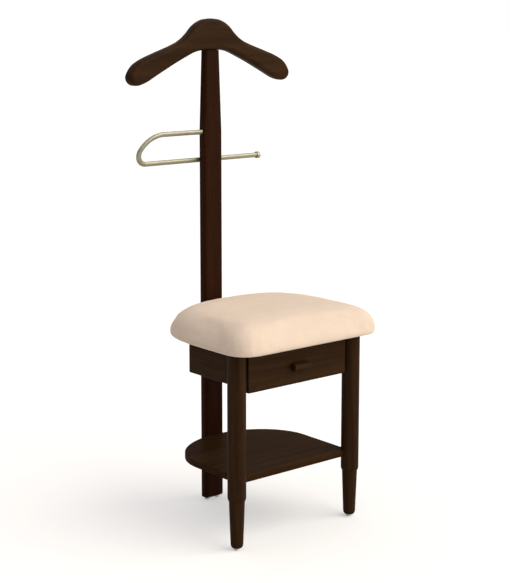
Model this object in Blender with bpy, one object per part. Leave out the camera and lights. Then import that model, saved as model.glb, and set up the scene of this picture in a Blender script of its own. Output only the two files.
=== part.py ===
"""Valet stand with a padded seat, a drawer, a low shelf, a trouser bar and a coat hanger.

Metres, +Z up, the front faces -Y. Inside the script Y is counted from the line through the
front legs' centres. The empty "stand" then moves everything so that the finished object's
box is centred on the origin and the glides stand at Z = 0.
"""

import math

import bmesh
import bpy
from mathutils import Matrix, Vector

# Gaps between pieces
GAP = 0.0003
SLIDE_GAP = 0.0006

# How far a cutter runs past the face it enters or leaves
CUT_RUN = 0.010
MOUTH_RUN = 0.020

# Overall sizes
HEIGHT = 1.120
LEG_SPACING = 0.329
POST_Y = 0.296
SEAT_UNDERSIDE = 0.434

# Front legs and glides
LEG_RADIUS = 0.0201
LEG_SHOULDER_RADIUS = 0.01725
LEG_TOE_RADIUS = 0.01375
LEG_SHOULDER_LOW = 0.110
LEG_SHOULDER_HIGH = 0.119
LEG_TOE_ROUND_WIDTH = 0.0055
LEG_TOE_ROUND_HEIGHT = 0.009
GLIDE_HEIGHT = 0.005
GLIDE_RADIUS = 0.0063
GLIDE_STEM_RADIUS = 0.0012
GLIDE_STEM_LENGTH = 0.014
GLIDE_STEM_POINT = 0.001

# Post
POST_WIDTH = 0.053
POST_TOP_WIDTH = 0.0394
POST_THICKNESS = 0.0215
POST_EDGE = 0.0065
POST_TAPER_START = 0.868
POST_TOE_ROUND = 0.005
TENON_WIDTH = 0.024
TENON_THICKNESS = 0.011
TENON_HEIGHT = 0.030
TENON_EDGE = 0.003
GLIDE_OFFSET = 0.014

# Hanger: half outline from the crown to the middle of the underside, measured from the crown
HANGER_HALF_WIDTH = 0.2265
HANGER_THICKNESS = 0.030
HANGER_EDGE = 0.010
HANGER_DEPTH_AT_POST = 0.0697
HANGER_FLAT_BESIDE_POST = 0.004
HANGER_SCREW_LENGTH = 0.018
HANGER_TOP_RUN = (
    (0.0, 0.0), (0.024, -0.0033), (0.047, -0.0155), (0.066, -0.034), (0.086, -0.0485),
    (0.112, -0.0595), (0.155, -0.0740), (0.190, -0.0870), (0.213, -0.1010),
)
HANGER_LOW_RUN = (
    (0.2265, -0.1220), (0.2225, -0.1370), (0.208, -0.1435), (0.184, -0.1380),
    (0.152, -0.1220), (0.110, -0.1010), (0.075, -0.0850), (0.048, -0.0740),
)

# Trouser bar
BAR_RADIUS = 0.00575
BAR_HIGH = 0.8669
BAR_LOW = 0.8022
BAR_BEND_START = 0.1309
BAR_BIG_BEND = 0.0668
BAR_SMALL_BEND = 0.0215
BAR_RIGHT_END = 0.157
BAR_SOCKET_DEPTH = 0.013
CAP_RADIUS = 0.00785
CAP_LENGTH = 0.0095
CAP_WALL = 0.003
CAP_LIP = 0.0008
CAP_ROUND_LENGTH = 0.002
CAP_ROUND_DEPTH = 0.0025

# Seat
SEAT_PAST_LEG_CENTRE = 0.0425
SEAT_FRONT = 0.068
SEAT_BACK_GAP = 0.003
SEAT_CORNER = 0.054
SEAT_STRAIGHT_END = 0.062
SEAT_CURVE_POWER = 3.0
CUSHION_HEIGHT = 0.059
CUSHION_CROWN = 0.006
CUSHION_WIDEST_HEIGHT = 0.015
CUSHION_TUCK = 0.006
CUSHION_ROUND = 0.044
BOARD_THICKNESS = 0.012
BOARD_INSET = 0.010

# Rails under the seat
RAIL_THICKNESS = 0.018
RAIL_OUTSIDE = 0.005
RAIL_HEIGHT = 0.0737
RAIL_END_Y = 0.159
RAIL_TENON_THICKNESS = 0.009
RAIL_TENON_MARGIN = 0.008
RAIL_TENON_REACH = 0.014
RAIL_EASE = 0.0015
TENON_ROOT = 0.010
BACK_RAIL_THICKNESS = 0.015
TOP_RAIL_DEPTH = 0.018
TOP_RAIL_HEIGHT = 0.0127
TOP_RAIL_TENON = 0.007
TOP_RAIL_SETBACK = 0.004
STRETCHER_WIDTH = 0.024
STRETCHER_HEIGHT = 0.058
STRETCHER_SCREW_REACH = 0.020
CORNER_BLOCK_SIDE = 0.030
CORNER_BLOCK_HEIGHT = 0.0175

# Shelf
SHELF_TOP = 0.158
SHELF_THICKNESS = 0.0145
SHELF_INSIDE_LEG_CENTRE = 0.0045
SHELF_STRAIGHT_END = 0.150
SHELF_EASE = 0.002
SHELF_CORNER = 0.002

# Drawer
DRAWER_GAP_TO_LEG = 0.0051
DRAWER_FACE_SETOUT = 0.009
DRAWER_FRONT_HEIGHT = 0.079
DRAWER_FRONT_THICKNESS = 0.014
DRAWER_GAP_ABOVE = 0.001
DRAWER_SIDE_SETIN = 0.0013
DRAWER_SIDE_THICKNESS = 0.011
DRAWER_SIDE_BELOW_TOP = 0.006
DRAWER_SIDE_ABOVE_BOTTOM = 0.020
DRAWER_BACK_THICKNESS = 0.010
DRAWER_REAR_GAP = 0.002
DRAWER_BOTTOM_THICKNESS = 0.004
DRAWER_BOTTOM_LIFT = 0.007
HOUSING_DEPTH = 0.0045
PULL_RADIUS = 0.0087
PULL_LENGTH = 0.044
PULL_FLAT = 0.0007
PULL_EDGE = 0.0015
PULL_SCREW_OFFSET = 0.012

# Runners and the turn-button stop
RUNNER_HEIGHT = 0.012
RUNNER_TOP_BELOW_SEAT = 0.0455
RUNNER_GROOVE_DEPTH = 0.0055
RUNNER_FRONT = 0.021
RUNNER_FRONT_GAP = 0.001
STOP_WIDTH = 0.030
STOP_THICKNESS = 0.008
STOP_DROP = 0.012
STOP_EASE = 0.001
STOP_GAP_ABOVE = 0.001

# Fasteners
SCREW_RADIUS = 0.00175
SCREW_HEAD_RADIUS = 0.0036
SCREW_HEAD_HEIGHT = 0.0022
SCREW_TIP = 0.004
BOLT_RADIUS = 0.003
BOLT_HEAD_RADIUS = 0.0065
BOLT_HEAD_HEIGHT = 0.003
BOLT_PAST_NUT = 0.007
BARREL_RADIUS = 0.005
BARREL_SETBACK = 0.028
BARREL_SETIN = 0.002
PAN_HEAD_RADIUS = 0.0038
PAN_HEAD_HEIGHT = 0.0018
BAR_SCREW_SHORT_OF_MIDDLE = 0.002
DOWEL_RADIUS = 0.004
DOWEL_LENGTH = 0.028
SHELF_DOWEL_RADIUS = 0.003
SHELF_DOWEL_Y = 0.008
SHELF_DOWEL_IN_LEG = 0.010
SHELF_DOWEL_IN_SHELF = 0.016
SHELF_SCREW_RADIUS = 0.0024
SHELF_SCREW_HEAD_RADIUS = 0.0055
SHELF_SCREW_HEAD_HEIGHT = 0.0025
SHELF_SCREW_REACH = 0.028

# Worked out from the sizes above
LEG_X = LEG_SPACING / 2
TOP_OF_FRAME = SEAT_UNDERSIDE - GAP
POST_FRONT = POST_Y - POST_THICKNESS / 2
POST_BACK = POST_Y + POST_THICKNESS / 2
HANGER_UNDERSIDE = HEIGHT - HANGER_DEPTH_AT_POST
POST_SHOULDER = HANGER_UNDERSIDE - GAP
BAR_LOW_Y = POST_BACK + GAP + BAR_RADIUS
SEAT_HALF_WIDTH = LEG_X + SEAT_PAST_LEG_CENTRE
SEAT_BACK = POST_FRONT - SEAT_BACK_GAP
RAIL_OUTER_X = LEG_X + RAIL_OUTSIDE
RAIL_INNER_X = RAIL_OUTER_X - RAIL_THICKNESS
RAIL_MID_X = (RAIL_INNER_X + RAIL_OUTER_X) / 2
RAIL_LOW = TOP_OF_FRAME - RAIL_HEIGHT
BACK_RAIL_FRONT = RAIL_END_Y - BACK_RAIL_THICKNESS
TOP_RAIL_LOW = TOP_OF_FRAME - TOP_RAIL_HEIGHT
TOP_RAIL_FRONT = -TOP_RAIL_SETBACK
TOP_RAIL_BACK = TOP_RAIL_FRONT + TOP_RAIL_DEPTH
STRETCHER_LOW = TOP_OF_FRAME - STRETCHER_HEIGHT
SHELF_LOW = SHELF_TOP - SHELF_THICKNESS
SHELF_MID = (SHELF_TOP + SHELF_LOW) / 2
SHELF_BACK = POST_FRONT - GAP
SHELF_HALF_WIDTH = LEG_X - SHELF_INSIDE_LEG_CENTRE
DRAWER_HALF_WIDTH = LEG_X - LEG_RADIUS - DRAWER_GAP_TO_LEG
DRAWER_FACE = -DRAWER_FACE_SETOUT
DRAWER_FRONT_BACK = DRAWER_FACE + DRAWER_FRONT_THICKNESS
DRAWER_FRONT_HIGH = TOP_RAIL_LOW - DRAWER_GAP_ABOVE
DRAWER_FRONT_LOW = DRAWER_FRONT_HIGH - DRAWER_FRONT_HEIGHT
DRAWER_SIDE_OUTER = DRAWER_HALF_WIDTH - DRAWER_SIDE_SETIN
DRAWER_SIDE_INNER = DRAWER_SIDE_OUTER - DRAWER_SIDE_THICKNESS
DRAWER_SIDE_HIGH = DRAWER_FRONT_HIGH - DRAWER_SIDE_BELOW_TOP
DRAWER_SIDE_LOW = DRAWER_FRONT_LOW + DRAWER_SIDE_ABOVE_BOTTOM
DRAWER_REAR = BACK_RAIL_FRONT - DRAWER_REAR_GAP
DRAWER_BACK_INNER = DRAWER_REAR - DRAWER_BACK_THICKNESS
DRAWER_BOTTOM_LOW = DRAWER_SIDE_LOW + DRAWER_BOTTOM_LIFT
DRAWER_BOTTOM_HIGH = DRAWER_BOTTOM_LOW + DRAWER_BOTTOM_THICKNESS
DRAWER_MID_Z = (DRAWER_FRONT_LOW + DRAWER_FRONT_HIGH) / 2
RUNNER_HIGH = TOP_OF_FRAME - RUNNER_TOP_BELOW_SEAT
RUNNER_LOW = RUNNER_HIGH - RUNNER_HEIGHT
RUNNER_INNER_X = DRAWER_SIDE_OUTER - RUNNER_GROOVE_DEPTH + SLIDE_GAP
PULL_Y = DRAWER_FACE - GAP - PULL_RADIUS + PULL_FLAT
REARMOST = max(BAR_LOW_Y + CAP_RADIUS, POST_Y + HANGER_THICKNESS / 2)
ORIGIN_SHIFT = -(REARMOST - SEAT_FRONT) / 2


def clear_scene():
    for old in list(bpy.data.objects):
        bpy.data.objects.remove(old)


def finish_material(name, colour, roughness, metallic=0.0):
    material = bpy.data.materials.new(name)
    material.use_nodes = True
    shader = material.node_tree.nodes["Principled BSDF"]
    shader.inputs["Base Color"].default_value = (*colour, 1.0)
    shader.inputs["Roughness"].default_value = roughness
    shader.inputs["Metallic"].default_value = metallic
    material.diffuse_color = (*colour, 1.0)
    return material


def empty(name, location, parent=None):
    helper = bpy.data.objects.new(name, None)
    bpy.context.scene.collection.objects.link(helper)
    helper.location = location
    helper.parent = parent
    return helper


clear_scene()
STAINED = ("stained_wood", (0.036, 0.018, 0.011), 0.38)
BARE = ("bare_wood", (0.50, 0.34, 0.19), 0.65)
CLOTH = ("cream_suede", (0.80, 0.68, 0.52), 0.92)
NICKEL = ("brushed_nickel", (0.62, 0.58, 0.50), 0.32, 1.0)
STEEL = ("zinc_steel", (0.60, 0.60, 0.58), 0.40, 1.0)
PLASTIC = ("white_plastic", (0.78, 0.78, 0.76), 0.50)
stand = empty("stand", (0, ORIGIN_SHIFT, 0))
drawer = empty("drawer", (0, DRAWER_FACE, DRAWER_MID_Z), stand)


def parent_offset(parent):
    return parent.location if parent is not stand else Vector((0, 0, 0))


def add_object(name, bm, finish, centre=(0, 0, 0), parent=stand):
    """Links the mesh as an object at centre, in the stand's coordinates, with its own material."""
    bmesh.ops.recalc_face_normals(bm, faces=bm.faces)
    mesh = bpy.data.meshes.new(name)
    bm.to_mesh(mesh)
    bm.free()
    obj = bpy.data.objects.new(name, mesh)
    bpy.context.scene.collection.objects.link(obj)
    obj.parent = parent
    obj.location = Vector(centre) - parent_offset(parent)
    if finish:
        slot, *look = finish
        mesh.materials.append(finish_material(f"{name}_{slot}", *look))
    return obj


def smooth(obj, angle=35.0):
    obj.data.shade_smooth()
    obj.data.set_sharp_from_angle(angle=math.radians(angle))
    return obj


def soften(obj, width, segments=2, angle=40.0):
    """Rounds the edges of a block."""
    bevel = obj.modifiers.new("eased_edges", "BEVEL")
    bevel.width = width
    bevel.segments = segments
    bevel.limit_method = "ANGLE"
    bevel.angle_limit = math.radians(angle)
    return obj


def box_mesh(low, high):
    bm = bmesh.new()
    bmesh.ops.create_cube(bm, size=1.0)
    size = Vector(high) - Vector(low)
    bmesh.ops.scale(bm, vec=size, verts=bm.verts)
    return bm


def block(name, low, high, finish, parent=stand):
    centre = (Vector(low) + Vector(high)) / 2
    return add_object(name, box_mesh(low, high), finish, centre, parent)


def axis_turn(axis):
    """Rotation that takes +Z to the axis."""
    return Vector((0, 0, 1)).rotation_difference(Vector(axis)).to_matrix().to_4x4()


def rod_mesh(radius, length, axis, segments):
    bm = bmesh.new()
    bmesh.ops.create_cone(
        bm, cap_ends=True, segments=segments, radius1=radius, radius2=radius,
        depth=length, matrix=axis_turn(axis),
    )
    return bm


def rod(name, start, end, radius, finish, segments=12, parent=stand):
    start, end = Vector(start), Vector(end)
    run = end - start
    bm = rod_mesh(radius, run.length, run.normalized(), segments)
    return smooth(add_object(name, bm, finish, (start + end) / 2, parent))


def turned_mesh(profile, steps, axis=(0, 0, 1)):
    """Turns a profile of (radius, height) points that starts and ends on the axis."""
    bm = bmesh.new()
    verts = [bm.verts.new((r, 0, z)) for r, z in profile]
    edges = [bm.edges.new(pair) for pair in zip(verts, verts[1:])]
    bmesh.ops.spin(
        bm, geom=verts + edges, cent=(0, 0, 0), axis=(0, 0, 1),
        angle=2 * math.pi, steps=steps, use_merge=True,
    )
    bmesh.ops.remove_doubles(bm, verts=bm.verts, dist=1e-6)
    bmesh.ops.transform(bm, matrix=axis_turn(axis), verts=bm.verts)
    return bm


def turned(name, profile, base, finish, steps=12, axis=(0, 0, 1), parent=stand):
    return smooth(add_object(name, turned_mesh(profile, steps, axis), finish, base, parent))


def prism_mesh(outline, depth):
    """Extrudes a closed outline of 3-D points along the depth vector."""
    bm = bmesh.new()
    face = bm.faces.new([bm.verts.new(p) for p in outline])
    grown = bmesh.ops.extrude_face_region(bm, geom=[face])["geom"]
    moved = [v for v in grown if isinstance(v, bmesh.types.BMVert)]
    bmesh.ops.translate(bm, vec=depth, verts=moved)
    return bm


def loft_mesh(rings):
    """Skins rings that have the same number of points, and caps both ends."""
    bm = bmesh.new()
    loops = [[bm.verts.new(p) for p in ring] for ring in rings]
    for low, high in zip(loops, loops[1:]):
        for i, start in enumerate(low):
            j = (i + 1) % len(low)
            bm.faces.new((start, low[j], high[j], high[i]))
    bm.faces.new(loops[0][::-1])
    bm.faces.new(loops[-1])
    return bm


def hide_helper(obj):
    obj.hide_render = True
    obj.display_type = "WIRE"
    return obj


def boolean(obj, other, operation):
    modifier = obj.modifiers.new(other.name, "BOOLEAN")
    modifier.operation = operation
    modifier.object = hide_helper(other)
    return obj


def cut_box(obj, low, high):
    centre = (Vector(low) + Vector(high)) / 2
    tool = add_object(f"cut_{obj.name}", box_mesh(low, high), None, centre)
    return boolean(obj, tool, "DIFFERENCE")


def cut_rod(obj, start, end, radius, segments=12):
    start, end = Vector(start), Vector(end)
    run = end - start
    bm = rod_mesh(radius, run.length, run.normalized(), segments)
    tool = add_object(f"cut_{obj.name}", bm, None, (start + end) / 2)
    return boolean(obj, tool, "DIFFERENCE")


def cut_mesh(obj, bm, centre=(0, 0, 0)):
    return boolean(obj, add_object(f"cut_{obj.name}", bm, None, centre), "DIFFERENCE")


def add_box(obj, low, high):
    centre = (Vector(low) + Vector(high)) / 2
    tool = add_object(f"join_{obj.name}", box_mesh(low, high), None, centre)
    return boolean(obj, tool, "UNION")


def screw_profile(length, radius=SCREW_RADIUS, grow=0.0, head_run=0.0):
    """Countersunk screw: head at height 0, point at length. head_run lengthens a hole's mouth."""
    head = SCREW_HEAD_RADIUS * radius / SCREW_RADIUS + grow
    depth = SCREW_HEAD_HEIGHT * radius / SCREW_RADIUS
    body = radius + grow
    profile = [(0, -head_run)]
    if head_run:
        profile.append((head, -head_run))
    profile += [(head, 0), (body, depth), (body, length - SCREW_TIP + grow), (0, length + grow)]
    return profile


def screw(name, head, axis, length, radius=SCREW_RADIUS, parent=stand):
    return turned(name, screw_profile(length, radius), head, STEEL, axis=axis, parent=parent)


def cut_screw(obj, head, axis, length, radius=SCREW_RADIUS):
    """The hole of a countersunk screw, with its mouth open."""
    profile = screw_profile(length, radius, grow=GAP, head_run=MOUTH_RUN)
    return cut_mesh(obj, turned_mesh(profile, 12, axis), head)


def pan_screw(name, head, axis, length, radius, head_radius, head_height, parent=stand):
    """Screw with a domed head that stands out of the face at head."""
    profile = [
        (0, -head_height), (head_radius * 0.6, -head_height), (head_radius, -head_height * 0.4),
        (head_radius, 0), (radius, 0), (radius, length - radius), (radius * 0.5, length), (0, length),
    ]
    return turned(name, profile, head, STEEL, axis=axis, parent=parent)


def rounded_rectangle(half_x, half_y, radius, z, corner_steps=3):
    ring = []
    corners = ((1, 1, 0), (-1, 1, 90), (-1, -1, 180), (1, -1, 270))
    for sx, sy, start in corners:
        for k in range(corner_steps + 1):
            angle = math.radians(start + 90 * k / corner_steps)
            x = sx * (half_x - radius) + radius * math.cos(angle)
            y = sy * (half_y - radius) + radius * math.sin(angle)
            ring.append(Vector((x, y, z)))
    return ring


def d_outline(half_width, front, back, corner, straight_end, power, curve_steps=12, corner_steps=4):
    """D-shaped outline: straight front and sides, rounded front corners, curved back."""
    half = []
    for k in range(corner_steps + 1):
        angle = math.radians(-90 + 90 * k / corner_steps)
        x = half_width - corner + corner * math.cos(angle)
        y = front + corner + corner * math.sin(angle)
        half.append((x, y))
    for k in range(curve_steps):
        angle = math.radians(90 * k / curve_steps)
        x = half_width * math.cos(angle) ** (2 / power)
        y = straight_end + (back - straight_end) * math.sin(angle) ** (2 / power)
        half.append((x, y))
    return half + [(0, back)] + [(-x, y) for x, y in reversed(half)]


def smooth_run(points, steps):
    """Catmull-Rom curve through the points."""
    padded = [points[0], *points, points[-1]]
    run = []
    for p0, p1, p2, p3 in zip(padded, padded[1:], padded[2:], padded[3:]):
        for k in range(steps):
            t = k / steps
            weights = (
                (-t + 2 * t**2 - t**3) / 2, (2 - 5 * t**2 + 3 * t**3) / 2,
                (t + 4 * t**2 - 3 * t**3) / 2, (t**3 - t**2) / 2,
            )
            run.append(sum((w * Vector(p) for w, p in zip(weights, (p0, p1, p2, p3))), Vector((0, 0))))
    return run + [Vector(points[-1])]


def seat_outline(inset, curve_steps=12):
    return d_outline(
        SEAT_HALF_WIDTH - inset, -SEAT_FRONT + inset, SEAT_BACK - inset,
        max(SEAT_CORNER - inset, SEAT_CORNER / 4), SEAT_STRAIGHT_END, SEAT_CURVE_POWER, curve_steps,
    )


def make_glide(name, x, y):
    low_edge = GLIDE_RADIUS * 0.85
    profile = [
        (0, 0), (low_edge, 0), (GLIDE_RADIUS, GLIDE_HEIGHT * 0.4), (GLIDE_RADIUS, GLIDE_HEIGHT - GAP),
        (GLIDE_STEM_RADIUS, GLIDE_HEIGHT - GAP),
        (GLIDE_STEM_RADIUS, GLIDE_HEIGHT + GLIDE_STEM_LENGTH),
        (0, GLIDE_HEIGHT + GLIDE_STEM_LENGTH + GLIDE_STEM_POINT),
    ]
    turned(name, profile, (x, y, 0), PLASTIC, steps=16)


def cut_glide_stem(obj, x, y):
    top = GLIDE_HEIGHT + GLIDE_STEM_LENGTH + GLIDE_STEM_POINT + GAP
    cut_rod(obj, (x, y, 0), (x, y, top), GLIDE_STEM_RADIUS + GAP, segments=8)


def leg_profile():
    """Turned leg from the glide to the seat board: toe, taper, quick shoulder, straight top."""
    step = LEG_SHOULDER_HIGH - LEG_SHOULDER_LOW
    swell = LEG_RADIUS - LEG_SHOULDER_RADIUS
    shoulder = [
        (LEG_SHOULDER_RADIUS + swell * math.sin(math.radians(a)),
         LEG_SHOULDER_LOW + step * (1 - math.cos(math.radians(a))))
        for a in (0, 25, 50, 70, 90)
    ]
    toe = [
        (LEG_TOE_RADIUS - LEG_TOE_ROUND_WIDTH * (1 - math.sin(math.radians(a))),
         GLIDE_HEIGHT + LEG_TOE_ROUND_HEIGHT * (1 - math.cos(math.radians(a))))
        for a in (0, 30, 60, 90)
    ]
    return [(0, GLIDE_HEIGHT)] + toe + shoulder + [(LEG_RADIUS, TOP_OF_FRAME), (0, TOP_OF_FRAME)]


def rail_tenon_box(side, grow=0.0):
    """Tenon of a side rail, from inside the leg to inside the rail."""
    mid = side * RAIL_MID_X
    half = RAIL_TENON_THICKNESS / 2 + grow
    start = LEG_RADIUS - RAIL_TENON_REACH - grow
    low = (mid - half, start, RAIL_LOW + RAIL_TENON_MARGIN - grow)
    high = (mid + half, LEG_RADIUS + TENON_ROOT, TOP_OF_FRAME - RAIL_TENON_MARGIN + grow)
    return low, high


def top_rail_tenon_box(side, grow=0.0):
    """Tenon of the front top rail, along X into the leg, up to the side rail's tenon at most."""
    mid_y = (TOP_RAIL_FRONT + TOP_RAIL_BACK) / 2
    mid_z = (TOP_RAIL_LOW + TOP_OF_FRAME) / 2
    half = TOP_RAIL_TENON / 2 + grow
    inner = LEG_X - LEG_RADIUS - TENON_ROOT
    side_tenon = RAIL_MID_X - RAIL_TENON_THICKNESS / 2
    outer = min(LEG_X - LEG_RADIUS / 2, side_tenon - GAP)
    low_x, high_x = sorted((side * inner, side * (outer + grow)))
    return (low_x, mid_y - half, mid_z - half), (high_x, mid_y + half, mid_z + half)


def shelf_dowel_ends(side):
    """A dowel along X that joins the leg and the shelf's corner."""
    surface = LEG_X - math.sqrt(LEG_RADIUS**2 - SHELF_DOWEL_Y**2)
    outer = (side * (surface + SHELF_DOWEL_IN_LEG), SHELF_DOWEL_Y, SHELF_MID)
    inner = (side * (surface - SHELF_DOWEL_IN_SHELF), SHELF_DOWEL_Y, SHELF_MID)
    return outer, inner


def lengthened(ends, extra):
    start, end = Vector(ends[0]), Vector(ends[1])
    step = (end - start).normalized() * extra
    return start - step, end + step


def make_leg(name, side):
    leg = turned(name, leg_profile(), (side * LEG_X, 0, 0), STAINED, steps=32)
    cut_box(leg, *rail_tenon_box(side, GAP))
    cut_box(leg, *top_rail_tenon_box(side, GAP))
    cut_rod(leg, *lengthened(shelf_dowel_ends(side), GAP), SHELF_DOWEL_RADIUS + GAP)
    cut_glide_stem(leg, side * LEG_X, 0)
    make_glide(name.replace("front_leg", "glide_leg"), side * LEG_X, 0)


def bolt_heights():
    return STRETCHER_LOW + STRETCHER_HEIGHT * 0.25, STRETCHER_LOW + STRETCHER_HEIGHT * 0.75


def post_ring(width, thickness, edge, z):
    return rounded_rectangle(width / 2, thickness / 2, edge, z)


def make_post():
    inset = POST_TOE_ROUND
    toe = GLIDE_HEIGHT + POST_TOE_ROUND
    rings = [
        post_ring(POST_WIDTH - 2 * inset, POST_THICKNESS - inset, POST_EDGE - inset / 2, GLIDE_HEIGHT),
        post_ring(
            POST_WIDTH - 0.6 * inset, POST_THICKNESS - 0.3 * inset, POST_EDGE,
            (GLIDE_HEIGHT + toe) / 2,
        ),
        post_ring(POST_WIDTH, POST_THICKNESS, POST_EDGE, toe),
        post_ring(POST_WIDTH, POST_THICKNESS, POST_EDGE, POST_TAPER_START),
        post_ring(POST_TOP_WIDTH, POST_THICKNESS, POST_EDGE, POST_SHOULDER),
        post_ring(TENON_WIDTH, TENON_THICKNESS, TENON_EDGE, POST_SHOULDER),
        post_ring(TENON_WIDTH, TENON_THICKNESS, TENON_EDGE, POST_SHOULDER + TENON_HEIGHT),
    ]
    post = smooth(add_object("post", loft_mesh(rings), STAINED, (0, POST_Y, 0)))
    socket_end = -POST_WIDTH / 2 + BAR_SOCKET_DEPTH + GAP
    cut_rod(post, (-POST_WIDTH, POST_Y, BAR_HIGH), (socket_end, POST_Y, BAR_HIGH), BAR_RADIUS + GAP)
    before, behind = POST_FRONT - CUT_RUN, POST_BACK + CUT_RUN
    cut_rod(post, (0, POST_Y, BAR_LOW), (0, behind, BAR_LOW), SCREW_RADIUS + GAP, segments=8)
    for z in bolt_heights():
        cut_rod(post, (0, before, z), (0, behind, z), BOLT_RADIUS + GAP)
    cut_rod(post, (0, before, SHELF_MID), (0, behind, SHELF_MID), SHELF_SCREW_RADIUS + GAP)
    cut_screw(post, *hanger_screw_place())
    for side, word in ((-1, "left"), (1, "right")):
        cut_glide_stem(post, side * GLIDE_OFFSET, POST_Y)
        make_glide(f"glide_post_{word}", side * GLIDE_OFFSET, POST_Y)


def hanger_screw_place():
    """Head, axis and length of the screw that pins the hanger on the post's tenon."""
    head = (0, POST_Y + HANGER_THICKNESS / 2, HANGER_UNDERSIDE + TENON_HEIGHT / 2)
    return head, (0, -1, 0), HANGER_SCREW_LENGTH


def hanger_half():
    """Half outline from the crown to the underside at the post, as (x, z)."""
    stretch = HANGER_HALF_WIDTH / HANGER_LOW_RUN[0][0]
    underside = (POST_TOP_WIDTH / 2 + HANGER_FLAT_BESIDE_POST, -HANGER_DEPTH_AT_POST)
    points = [(x * stretch, z) for x, z in (*HANGER_TOP_RUN, *HANGER_LOW_RUN)] + [underside]
    return smooth_run(points, 3)


def make_hanger():
    half = hanger_half()
    whole = [*half, *(Vector((-x, z)) for x, z in reversed(half[1:]))]
    front = POST_Y - HANGER_THICKNESS / 2
    outline = [Vector((x, front, HEIGHT + z)) for x, z in whole]
    bm = prism_mesh(outline, (0, HANGER_THICKNESS, 0))
    hanger = add_object("hanger", bm, STAINED)
    smooth(soften(hanger, HANGER_EDGE, 3, 60))
    low = HANGER_UNDERSIDE - CUT_RUN
    high = POST_SHOULDER + TENON_HEIGHT + GAP
    width = TENON_WIDTH + 2 * GAP
    thickness = TENON_THICKNESS + 2 * GAP
    rings = [post_ring(width, thickness, TENON_EDGE, z) for z in (low, high)]
    cut_mesh(hanger, loft_mesh(rings), (0, POST_Y, 0))
    head, axis, length = hanger_screw_place()
    cut_screw(hanger, head, axis, length)
    screw("hanger_screw", head, axis, length)


def bar_path(steps=10):
    """Centre line of the bent rod, from the post's socket round the bend to the free end."""
    drop = BAR_HIGH - BAR_LOW
    turn = math.acos((BAR_BIG_BEND + BAR_SMALL_BEND - drop) / (BAR_BIG_BEND - BAR_SMALL_BEND))
    flat = [(-POST_WIDTH / 2 + BAR_SOCKET_DEPTH, BAR_HIGH)]
    for k in range(steps + 1):
        a = turn * k / steps
        x = -BAR_BEND_START - BAR_BIG_BEND * math.sin(a)
        flat.append((x, BAR_HIGH - BAR_BIG_BEND * (1 - math.cos(a))))
    centre_x = flat[-1][0] + BAR_SMALL_BEND * math.sin(turn)
    centre_z = flat[-1][1] - BAR_SMALL_BEND * math.cos(turn)
    for k in range(1, steps + 1):
        a = turn + (math.pi - turn) * k / steps
        flat.append((centre_x - BAR_SMALL_BEND * math.sin(a), centre_z + BAR_SMALL_BEND * math.cos(a)))
    flat.append((BAR_RIGHT_END - CAP_WALL - GAP, BAR_LOW))
    lean = (BAR_LOW_Y - POST_Y) / drop
    return [Vector((x, POST_Y + lean * (BAR_HIGH - z), z)) for x, z in flat]


def tube_mesh(path, radius, sides):
    """A round rod along a path of points, mitred where it bends."""
    rings = []
    for i, point in enumerate(path):
        before = (point - path[i - 1]).normalized() if i else None
        after = (path[i + 1] - point).normalized() if i + 1 < len(path) else None
        along = ((before or after) + (after or before)).normalized()
        across = along.cross(Vector((0, 1, 0))).normalized()
        up = across.cross(along)
        ring = []
        for k in range(sides):
            angle = 2 * math.pi * k / sides
            ring.append(point + radius * (math.cos(angle) * across + math.sin(angle) * up))
        rings.append(ring)
    return loft_mesh(rings)


def make_trouser_bar():
    bar = smooth(add_object("trouser_bar", tube_mesh(bar_path(), BAR_RADIUS, 12), NICKEL), 50)
    back = BAR_LOW_Y + BAR_RADIUS
    start = (0, POST_BACK - CUT_RUN, BAR_LOW)
    cut_rod(bar, start, (0, back + CUT_RUN, BAR_LOW), SCREW_RADIUS + GAP, segments=8)
    reach = back - POST_Y - BAR_SCREW_SHORT_OF_MIDDLE
    pan_screw(
        "bar_screw", (0, back + GAP, BAR_LOW), (0, -1, 0), reach,
        SCREW_RADIUS, PAN_HEAD_RADIUS, PAN_HEAD_HEIGHT,
    )
    mouth = BAR_RIGHT_END - CAP_LENGTH
    bore = BAR_RADIUS + GAP
    profile = [
        (0, CAP_LENGTH - CAP_WALL), (bore, CAP_LENGTH - CAP_WALL), (bore, 0),
        (CAP_RADIUS - CAP_LIP, 0), (CAP_RADIUS, CAP_LIP),
        (CAP_RADIUS, CAP_LENGTH - CAP_ROUND_LENGTH), (CAP_RADIUS - CAP_ROUND_DEPTH, CAP_LENGTH),
        (0, CAP_LENGTH),
    ]
    turned("bar_end_cap", profile, (mouth, BAR_LOW_Y, BAR_LOW), NICKEL, steps=16, axis=(1, 0, 0))


def cope_rail(rail, side, low):
    """Hollows the rail's end to fit round the leg."""
    start = (side * LEG_X, 0, low - CUT_RUN)
    cut_rod(rail, start, (side * LEG_X, 0, TOP_OF_FRAME + CUT_RUN), LEG_RADIUS + GAP, 32)


def make_side_rail(name, side):
    low_x, high_x = sorted((side * RAIL_INNER_X, side * RAIL_OUTER_X))
    low = (low_x, LEG_RADIUS / 2, RAIL_LOW)
    rail = block(name, low, (high_x, RAIL_END_Y, TOP_OF_FRAME), STAINED)
    soften(rail, RAIL_EASE, 1)
    cope_rail(rail, side, RAIL_LOW)
    add_box(rail, *rail_tenon_box(side))
    for ends in rail_dowels(side):
        cut_rod(rail, *lengthened(ends, GAP), DOWEL_RADIUS + GAP)
    for place in runner_screws(side):
        cut_screw(rail, *place)
    return rail


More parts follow.
